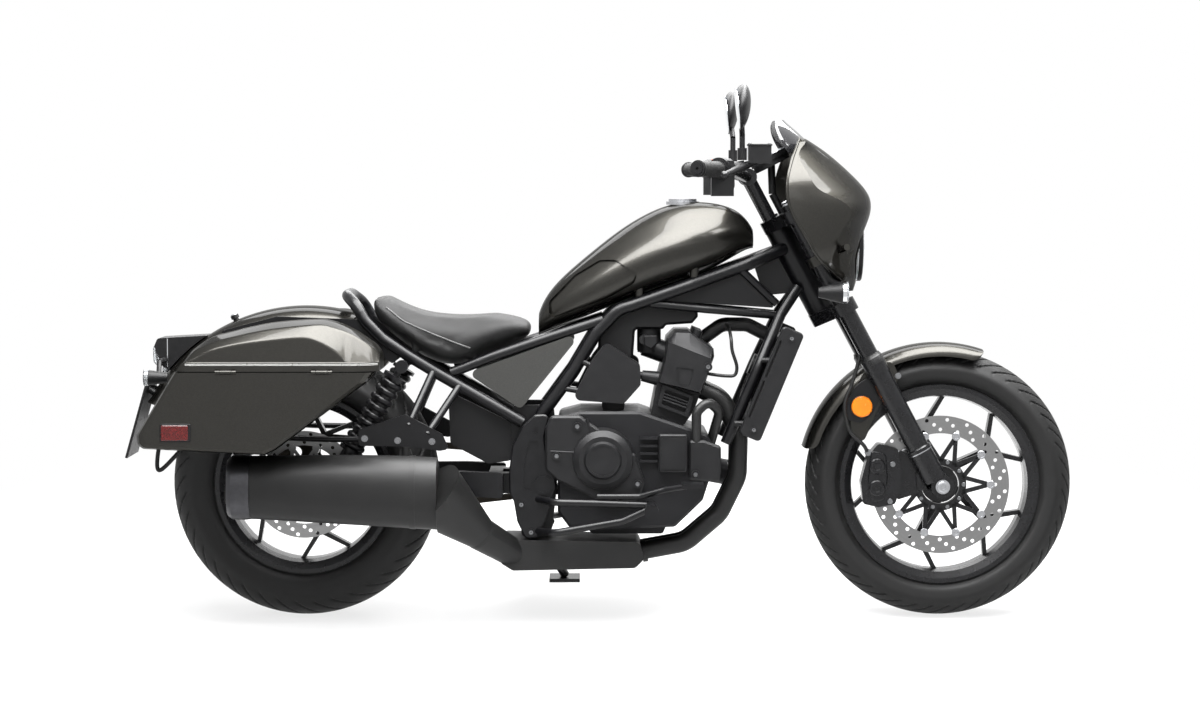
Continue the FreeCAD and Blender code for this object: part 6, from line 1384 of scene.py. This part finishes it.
@dataclass
class Cockpit:
    """Mirror glass, the dial, grips, lever ends, switches and the reservoir's lid."""

    mirror: Point = (1030.0, 330.0, 1214.0)
    mirror_tip: float = math.radians(-7.0)
    dial: Point = (1112.0, 0.0, 1102.0)
    dial_facing: Point = (-0.45, 0.0, 0.89)
    mark_r: float = 40.0
    grip_in: Point = (980.0, 300.0, 1072.0)
    grip_out: Point = (927.0, 420.0, 1073.0)
    ribs: int = 40
    switch_box: tuple[Pair, ...] = ((964.0, 1058.0), (964.0, 1092.0), (1016.0, 1092.0), (1018.0, 1030.0),
                                    (1004.0, 1012.0), (984.0, 1012.0))
    fluid_lid: tuple[Pair, ...] = ((1049.0, 1126.0), (1106.0, 1126.0), (1106.0, 1131.0), (1049.0, 1131.0))

    def mirror_glass(self) -> Surface:
        """An oval glass on the shell's flat back, tipped about y."""
        disc = turned([(7.0, 1.0), (8.6, 1.0), (9.2, 0.97), (9.2, 0.0)], ORIGIN, BEHIND, 48)
        points = disc.points * np.array([1.0, 77.0, 49.0])
        cosine = math.cos(self.mirror_tip)
        sine = math.sin(self.mirror_tip)
        turn = np.array([[cosine, 0.0, sine], [0.0, 1.0, 0.0], [-sine, 0.0, cosine]])
        return Surface(points @ turn.T + np.array(self.mirror), disc.faces)

    def grip(self) -> Surface:
        """A ribbed sleeve: its radius swells once for each rib along the bar, between two plain collars."""
        start = np.array(self.grip_in)
        stop = np.array(self.grip_out)
        share = np.linspace(0.02, 0.955, 260)
        line = start + (stop - start) * share[:, None]
        rib = 0.9 * (np.cos(share * 2 * math.pi * self.ribs) > 0.1)
        collar = np.where((share < 0.06) | (share > 0.92), 2.4, 0.0)
        corners = [tuple(point) for point in line[[0, 90, 170, -1]]]
        return hose(corners, 17.2 + np.maximum(rib, collar), 260, 24)

    def dial_marks(self) -> Surface:
        """Short bars round the dial, each turned to its own angle, every fifth one longer and wider."""
        facing = unit(np.array(self.dial_facing))
        right = np.array(RIGHT)
        up = np.cross(right, facing)
        up *= np.sign(up[0])
        marks = []
        for number in range(31):
            angle = math.radians(225.0 - 9.0 * number)
            way = math.cos(angle) * right + math.sin(angle) * up
            across = np.cross(facing, way)
            length, half = (8.0, 0.9) if number % 5 == 0 else (4.5, 0.5)
            ends = [(self.mark_r - length, -half), (self.mark_r, -half), (self.mark_r, half),
                    (self.mark_r - length, half)]
            rows = [[np.array(self.dial) + facing * level + way * reach + across * side
                     for reach, side in ends] for level in (3.6, 4.3)]
            marks.append(grid(np.array(rows)))
        return together(marks)

    def instrument(self) -> list[Trim]:
        """The dial's ring, face, marks and domed glass."""
        ring = turned([(2.6, 48.5), (4.6, 48.5), (6.0, 46.5), (5.4, 44.5), (3.2, 43.5)], self.dial,
                      self.dial_facing, 56)
        face = turned([(2.8, 44.5), (3.8, 44.0), (3.8, 0.0)], self.dial, self.dial_facing, 56)
        glass = turned([(4.4, 45.0), (5.8, 42.0), (6.8, 24.0), (7.2, 0.0), (6.0, 0.0), (5.6, 24.0),
                        (4.8, 40.0), (4.2, 43.0)], self.dial, self.dial_facing, 56)
        return [Trim("dial_ring", ring, CHROME, "machined_alloy"),
                Trim("dial_face", face, DIAL, "moulded_black"),
                Trim("dial_marks", self.dial_marks(), DIAL_MARK, "lamp_clear"),
                Trim("dial_glass", glass, CLEAR, "lamp_clear")]

    def right_hand(self) -> list[Trim]:
        """The switch box with its button, and the fluid reservoir's lid with its screws."""
        box = plate(rounded(list(self.switch_box), 6.0), -298.0, -262.0, 2.0)
        lid = plate(rounded(list(self.fluid_lid), 2.0), -270.0, -214.0, 1.2)
        corners = [(x, y, 1131.0) for x in (1055.0, 1100.0) for y in (-264.0, -220.0)]
        screws = scattered(socket_screw(3.0, 2.0), corners, UP)
        start = turned([(0.0, 6.5), (4.0, 6.5), (5.0, 5.5), (5.0, 0.0)], (972.0, -280.0, 1091.0),
                       (-0.3, 0.0, 0.95), 24)
        return [Trim("switch_box_right", box, MOULDED, "moulded_black"),
                Trim("reservoir_lid", lid, MOULDED, "moulded_black"),
                Trim("reservoir_screws", screws, BOLT_STEEL, "machined_alloy"),
                Trim("start_button", start, ORANGE, "lamp_red")]

    def build(self) -> None:
        """Makes every piece of the cockpit."""
        for trim in self.instrument() + self.right_hand():
            trim.make(Body.STEERING)
        turn = np.linspace(-math.pi / 2, math.pi / 2, 13)
        ball = turned([(8.0 * math.sin(angle), 8.0 * math.cos(angle)) for angle in turn],
                      (989.0, 426.0, 1059.0), LEFT, 24)
        for trim in (Trim("mirror_glass", self.mirror_glass(), MIRROR, "machined_alloy"),
                     Trim("grip_sleeve", self.grip(), HOSE, "hose_rubber"),
                     Trim("lever_ball", ball, FORK_COAT, "fork_black")):
            trim.make_pair(Body.STEERING)


# Wheels

@dataclass
class DiscTrim:
    """The front disc's black carrier, its bobbins and the screws that hold it."""

    centre: Point = (WHEELBASE, -68.5, FRONT_AXLE_HEIGHT)
    arms: int = 10
    half_thick: float = 2.7
    root_r: float = 57.0
    root_spread: float = math.radians(18.0)
    tip_r: float = 120.0
    bobbin_r: float = 121.0
    screw_r: float = 56.0

    def arm_turns(self) -> np.ndarray:
        """Angles of the arms about the axle."""
        return np.radians(np.arange(self.arms) * 360.0 / self.arms)

    def carrier(self) -> Surface:
        """The carrier's skin, proud of the steel: a hub ring and pairs of tapered bars that meet at tips."""
        turn = self.arm_turns()[:, None]
        root_turn = turn + np.array([[-self.root_spread, self.root_spread]])
        root = self.root_r * np.stack([np.cos(root_turn), np.sin(root_turn)], axis=-1)
        tip = np.broadcast_to(self.tip_r * np.stack([np.cos(turn), np.sin(turn)], axis=-1), root.shape)
        along = unit(tip - root)
        across = np.stack([-along[..., 1], along[..., 0]], axis=-1)
        thick = self.half_thick
        parts = [turned([(-thick, 46.0), (-thick, 62.0), (-2.2, 62.7), (2.2, 62.7), (thick, 62.0),
                         (thick, 46.0)], self.centre, RIGHT, 72, hollow=True)]
        for at in np.ndindex(self.arms, 2):
            rows = []
            for end, half in ((root[at], 5.3), (tip[at], 4.8)):
                corners = [end + across[at] * half * way for way in (1, 1, -1, -1)]
                rows.append([(self.centre[0] + spot[0], self.centre[1] + lift, self.centre[2] + spot[1])
                             for spot, lift in zip(corners, (-thick, thick, thick, -thick))])
            parts.append(grid(np.array(rows)))
        return together(parts)

    def fasteners(self, piece: Surface, radius: float, sunk: float) -> Surface:
        """Copies of a fastener on a circle about the axle.

        Args:
            piece: The fastener with its top on +z.
            radius: Radius of the circle in mm.
            sunk: Distance of its foot from the disc's middle.

        Returns:
            All copies.
        """
        turn = self.arm_turns()
        spots = np.stack([self.centre[0] + radius * np.cos(turn), np.full(self.arms, self.centre[1] - sunk),
                          self.centre[2] + radius * np.sin(turn)], axis=-1)
        return scattered(piece, spots, RIGHT)

    def build(self) -> None:
        """Makes the carrier and both rings of fasteners."""
        bobbin = turned([(0.0, 10.0), (1.2, 10.0), (2.0, 9.2), (2.0, 6.0), (1.0, 5.6), (1.0, 0.0)], ORIGIN,
                        UP, 24)
        bobbins = self.fasteners(bobbin, self.bobbin_r, 3.3)
        screws = self.fasteners(socket_screw(5.0, 4.0), self.screw_r, 2.0)
        for trim in (Trim("front_disc_carrier", self.carrier(), FORK_COAT, "fork_black"),
                     Trim("front_disc_bobbins", bobbins, ALLOY, "machined_alloy"),
                     Trim("front_disc_screws", screws, BOLT_STEEL, "machined_alloy")):
            trim.make(Body.FRONT_WHEEL)


# Engine and cooling

@dataclass
class EngineTrim:
    """Cover screws in their counterbores, the plug's lead and the radiator's fins."""

    right_screws: tuple[Point, ...] = (
        (653.0, -180.0, 467.0), (604.0, -180.0, 397.0), (795.0, -180.0, 331.0), (748.0, -180.0, 298.0),
        (932.0, -176.0, 353.0), (962.0, -148.7, 606.0), (520.0, -147.7, 279.0), (543.0, -147.7, 213.0))
    left_screws: tuple[Point, ...] = ((962.0, 148.7, 606.0), (520.0, 147.7, 279.0), (543.0, 147.7, 213.0))
    cover_centre: Point = (880.0, 170.0, 350.0)
    cover_screw_r: float = 71.0
    lead: tuple[Point, ...] = (
        (1010.0, -4.0, 700.0), (1014.0, -50.0, 696.0), (1018.0, -92.0, 672.0), (1021.0, -100.0, 641.0),
        (1031.6, -100.0, 605.4), (1026.9, -100.0, 584.0), (1005.5, -100.0, 581.7), (975.0, -98.0, 585.0),
        (955.0, -92.0, 588.0))
    radiator_foot: Pair = (1062.0, 446.0)
    radiator_top: Pair = (1161.0, 686.0)
    shroud_y: float = 158.7
    core_half: float = 116.0
    core_front: float = 12.5
    fin_rows: int = 88
    fin_columns: int = 117

    def fins(self) -> Surface:
        """A closed slab with a corrugated front: every other column stands proud, save in each fourth row."""
        foot = np.array(self.radiator_foot)
        top = np.array(self.radiator_top)
        ahead = unit(np.array([top[1] - foot[1], foot[0] - top[0]]))
        rows = np.linspace(0.03, 0.97, self.fin_rows)
        columns = np.linspace(-self.core_half, self.core_half, self.fin_columns)
        raised = (np.arange(self.fin_columns)[None] % 2) * (np.arange(self.fin_rows)[:, None] % 4 < 3)
        proud = 13.2 + 1.6 * raised
        middle = foot + rows[:, None] * (top - foot)
        front = np.stack([middle[:, None, 0] + proud * ahead[0], np.broadcast_to(columns, proud.shape),
                          middle[:, None, 1] + proud * ahead[1]], axis=-1)
        edges = []
        for side in (self.core_half, -self.core_half):
            edges.append(np.stack([middle[:, 0] + self.core_front * ahead[0], np.full(self.fin_rows, side),
                                   middle[:, 1] + self.core_front * ahead[1]], axis=-1)[:, None])
        return grid(np.concatenate([front] + edges, axis=1))

    def shroud_spots(self, side: int) -> list[Point]:
        """Screws of a side shroud, near both ends of the radiator's line."""
        foot = np.array(self.radiator_foot)
        top = np.array(self.radiator_top)
        spots = [foot + share * (top - foot) for share in (0.05, 0.95)]
        return [(spot[0] + 3.0, side * self.shroud_y, spot[1]) for spot in spots]

    def cover_spots(self) -> list[Point]:
        """Screws round the left cover, six on a circle."""
        x, y, z = self.cover_centre
        return [(x + self.cover_screw_r * math.cos(angle), y, z + self.cover_screw_r * math.sin(angle))
                for angle in np.radians(30.0 + 60.0 * np.arange(6))]

    def build(self) -> None:
        """Makes the engine's trim."""
        screw = socket_screw(5.4, 4.0)
        right = scattered(screw, list(self.right_screws) + self.shroud_spots(-1), RIGHT)
        left = scattered(screw, list(self.left_screws) + self.shroud_spots(1) + self.cover_spots(), LEFT)
        make_piece("engine_screws", right + left, BOLT_STEEL, Body.CHASSIS)
        make_piece("plug_lead", hose(list(self.lead), 4.0, 60), HOSE, Body.CHASSIS)
        make_piece("radiator_fins", self.fins(), FIN, Body.CHASSIS, 20.0)


# Tail

@dataclass
class TailTrim:
    """Lenses of the tail lamp and rear signals, the plate holder's reflector and the rear fender's knob."""

    lamp_lens: tuple[Pair, ...] = ((-346.0, 657.0), (-361.0, 652.0), (-364.0, 644.0), (-363.0, 613.0),
                                   (-356.0, 604.0), (-341.0, 602.0))
    lamp_band: tuple[Pair, ...] = ((-326.6, 668.0), (-329.2, 668.0), (-329.2, 600.0), (-326.6, 600.0))
    plate_lens: tuple[Pair, ...] = ((-380.0, 552.0), (-386.0, 550.0), (-394.6, 519.0), (-389.0, 517.0))
    knob: Point = (-169.0, 0.0, 710.5)
    knob_axis: Point = (-0.4, 0.0, 0.92)
    signal: Point = (-362.0, 172.0, 582.0)

    def build(self) -> None:
        """Makes the tail's trim."""
        lens = plate(rounded(list(self.lamp_lens), 4.0), -48.0, 48.0, 3.0)
        band = plate(list(self.lamp_band), -56.9, 56.9, 0.5)
        reflector = plate(list(self.plate_lens), -30.0, 30.0, 1.2)
        knob = turned([(-4.0, 7.0), (4.0, 7.0), (4.5, 10.0), (12.0, 10.0), (13.5, 8.5), (13.5, 0.0)],
                      self.knob, self.knob_axis, 28)
        knob_top = turned([(13.4, 8.4), (15.5, 8.0), (16.2, 6.0), (16.2, 0.0)], self.knob, self.knob_axis,
                          28)
        for trim in (Trim("tail_lamp_lens", lens, CLEAR, "lamp_clear"),
                     Trim("tail_lamp_band", band, CHROME, "machined_alloy"),
                     Trim("plate_reflector", reflector, RED_LENS, "lamp_red"),
                     Trim("fender_knob", knob, MOULDED, "moulded_black"),
                     Trim("fender_knob_top", knob_top, ALLOY, "machined_alloy")):
            trim.make(Body.CHASSIS)
        signal = turned([(-5.0, 19.4), (4.0, 19.4), (6.6, 17.0), (7.2, 0.0)], self.signal, BEHIND, 32)
        Trim("rear_signal_lens", signal, CLEAR, "lamp_clear").make_pair(Body.CHASSIS)


# Studio

@dataclass(frozen=True)
class Softbox:
    """A rectangular lamp: where it hangs and points in metres, its two sides and its power in watts."""

    name: str
    place: Point
    aim: Point
    size: Pair
    watts: float

    def build(self) -> None:
        """Hangs the lamp."""
        data = bpy.data.lights.new(self.name, "AREA")
        data.shape = "RECTANGLE"
        data.size = self.size[0]
        data.size_y = self.size[1]
        data.energy = self.watts
        light = bpy.data.objects.new(self.name, data)
        bpy.context.scene.collection.objects.link(light)
        light.location = self.place
        light.rotation_euler = (Vector(self.aim) - Vector(self.place)).to_track_quat("-Z", "Y").to_euler()


@dataclass
class Studio:
    """Floor, soft lights and the camera of the photograph, set up round the leaning bike."""

    focal_px: float = 3243.0
    image_width_px: float = 1200.0
    sensor_mm: float = 36.0
    floor_half_m: float = 14.0
    lamps: tuple[Softbox, ...] = (
        Softbox("softbox_above", (0.5, -0.2, 3.0), (0.3, 0.0, 0.6), (4.8, 2.9), 900.0),
        Softbox("softbox_right", (0.4, -4.4, 2.9), (0.0, 0.0, 0.6), (3.4, 1.0), 20.0),
        Softbox("softbox_left", (0.0, 4.0, 2.9), (0.0, 0.0, 0.6), (4.6, 1.8), 200.0))
    eye: Point = (706.4, -7800.0, 1047.0)
    aim: Point = (706.4, 0.0, 624.9)

    def camera(self) -> None:
        """A long lens on the bike's right, square to the bike's own plane."""
        data = bpy.data.cameras.new("photo_camera")
        data.sensor_width = self.sensor_mm
        data.lens = self.focal_px * self.sensor_mm / self.image_width_px
        data.clip_end = 60.0
        camera = bpy.data.objects.new("photo_camera", data)
        bpy.context.scene.collection.objects.link(camera)
        eye = PARKING.place(np.array(self.eye))
        aim = PARKING.place(np.array(self.aim))
        back = unit(eye - aim)
        up = PARKING.turn @ np.array(UP)
        right = unit(np.cross(up, back))
        up = np.cross(back, right)
        turn = Matrix(np.stack([right, up, back], axis=1).tolist()).to_4x4()
        camera.matrix_world = Matrix.Translation(Vector(eye)) @ turn
        bpy.context.scene.camera = camera

    def seen_rays(self, tree: bpy.types.NodeTree) -> bpy.types.NodeSocket:
        """One for rays that show the backdrop: those of the camera, of gloss and of clear lenses."""
        rays = add_node(tree, "ShaderNodeLightPath")
        clear = add_node(tree, "ShaderNodeMath", {"operation": "MAXIMUM"},
                         {0: rays.outputs["Is Camera Ray"], 1: rays.outputs["Is Transmission Ray"]})
        both = add_node(tree, "ShaderNodeMath", {"operation": "MAXIMUM"},
                        {0: clear.outputs[0], 1: rays.outputs["Is Glossy Ray"]})
        return both.outputs[0]

    def floor(self) -> None:
        """A wide pale floor that keeps the soft shadow and shows white to the camera."""
        mesh = bpy.data.meshes.new("studio_floor")
        half = self.floor_half_m
        corners = [(-half, -half, 0.0), (half, -half, 0.0), (half, half, 0.0), (-half, half, 0.0)]
        mesh.from_pydata(corners, [], [(0, 1, 2, 3)])
        floor = bpy.data.objects.new("studio_floor", mesh)
        bpy.context.scene.collection.objects.link(floor)
        material = bpy.data.materials.new("floor_matte_white")
        material.use_nodes = True
        tree = material.node_tree
        tree.nodes.clear()
        matte = add_node(tree, "ShaderNodeBsdfDiffuse", inputs={"Color": linear("#e6e6e6")})
        glow = add_node(tree, "ShaderNodeEmission", inputs={"Color": linear("#ffffff"), "Strength": 1.0})
        seen = self.seen_rays(tree)
        place = add_node(tree, "ShaderNodeTexCoord").outputs["Object"]
        reach = add_node(tree, "ShaderNodeVectorMath", {"operation": "LENGTH"}, {0: place})
        far = add_node(tree, "ShaderNodeMapRange", {"interpolation_type": "SMOOTHSTEP"},
                       {"Value": reach.outputs["Value"], "From Min": 1.0, "From Max": 2.0, "To Min": 0.78,
                        "To Max": 1.0})
        share = add_node(tree, "ShaderNodeMath", {"operation": "MULTIPLY"},
                         {0: seen, 1: far.outputs["Result"]})
        mix = add_node(tree, "ShaderNodeMixShader", inputs={0: share.outputs[0], 1: matte.outputs[0],
                                                            2: glow.outputs[0]})
        add_node(tree, "ShaderNodeOutputMaterial", inputs={"Surface": mix.outputs[0]})
        mesh.materials.append(material)

    def world(self) -> None:
        """A white room to the camera, and to the bike a soft gradient, light above and dim at the sides."""
        world = bpy.data.worlds.new("studio")
        bpy.context.scene.world = world
        world.use_nodes = True
        tree = world.node_tree
        tree.nodes.clear()
        way = add_node(tree, "ShaderNodeTexCoord").outputs["Generated"]
        height = add_node(tree, "ShaderNodeSeparateXYZ", inputs={"Vector": way}).outputs["Z"]
        level = add_node(tree, "ShaderNodeMapRange", {"interpolation_type": "SMOOTHSTEP"},
                         {"Value": height, "From Min": -0.1, "From Max": 0.95, "To Min": 0.1,
                          "To Max": 0.55})
        soft = add_node(tree, "ShaderNodeBackground", inputs={"Color": linear("#ffffff"),
                                                              "Strength": level.outputs["Result"]})
        white = add_node(tree, "ShaderNodeBackground", inputs={"Color": linear("#ffffff"), "Strength": 1.0})
        mix = add_node(tree, "ShaderNodeMixShader", inputs={0: self.seen_rays(tree), 1: soft.outputs[0],
                                                            2: white.outputs[0]})
        add_node(tree, "ShaderNodeOutputWorld", inputs={"Surface": mix.outputs[0]})

    def build(self) -> None:
        """Sets up the whole studio."""
        scene = bpy.context.scene
        scene.view_settings.view_transform = "Standard"
        self.camera()
        self.floor()
        self.world()
        for lamp in self.lamps:
            lamp.build()
        LOG.info("studio: camera, floor and %d softboxes", len(self.lamps))


def main() -> None:
    """Builds every piece of the bike and the studio round it."""
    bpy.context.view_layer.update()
    Studio().build()
    CarriedNodes().dress()
    Saddle().build()
    Tyre("front_tyre_tread", "front_tyre", Body.FRONT_WHEEL, centre=(WHEELBASE, 0.0, FRONT_AXLE_HEIGHT),
         outer_r=319.6, half=65.0, crown=68.0, bead_r=240.0, rim_half=55.0, grooves=48, sweep=1.6).build()
    Tyre("rear_tyre_tread", "rear_tyre", Body.REAR_WHEEL, centre=(0.0, 0.0, REAR_AXLE_HEIGHT),
         outer_r=320.2, half=90.0, crown=98.0, bead_r=216.0, rim_half=73.0, grooves=40, sweep=-1.5).build()
    Lid("right", Body.LID_RIGHT).build()
    Lid("left", Body.LID_LEFT).build()
    FrontFender("front_fender_shell", "front_fender", Body.STEERING, centre=(WHEELBASE, FRONT_AXLE_HEIGHT),
                outer_r=338.0, half=73.0, drop=31.0, turn_from=72.0, turn_to=165.0).build()
    Fender("rear_fender_shell", "rear_fender", Body.CHASSIS, centre=(0.0, REAR_AXLE_HEIGHT),
           outer_r=425.0, half=104.0, drop=48.0, turn_from=72.0, turn_to=152.0).build()
    for trim in (LuggageTrim(), SilencerCap(), ForkTrim(), FairingTrim(), Cockpit(), DiscTrim(),
                 EngineTrim(), TailTrim()):
        trim.build()


if __name__ == "__main__":
    logging.basicConfig(level=logging.INFO, format="%(name)s: %(message)s")
    main()
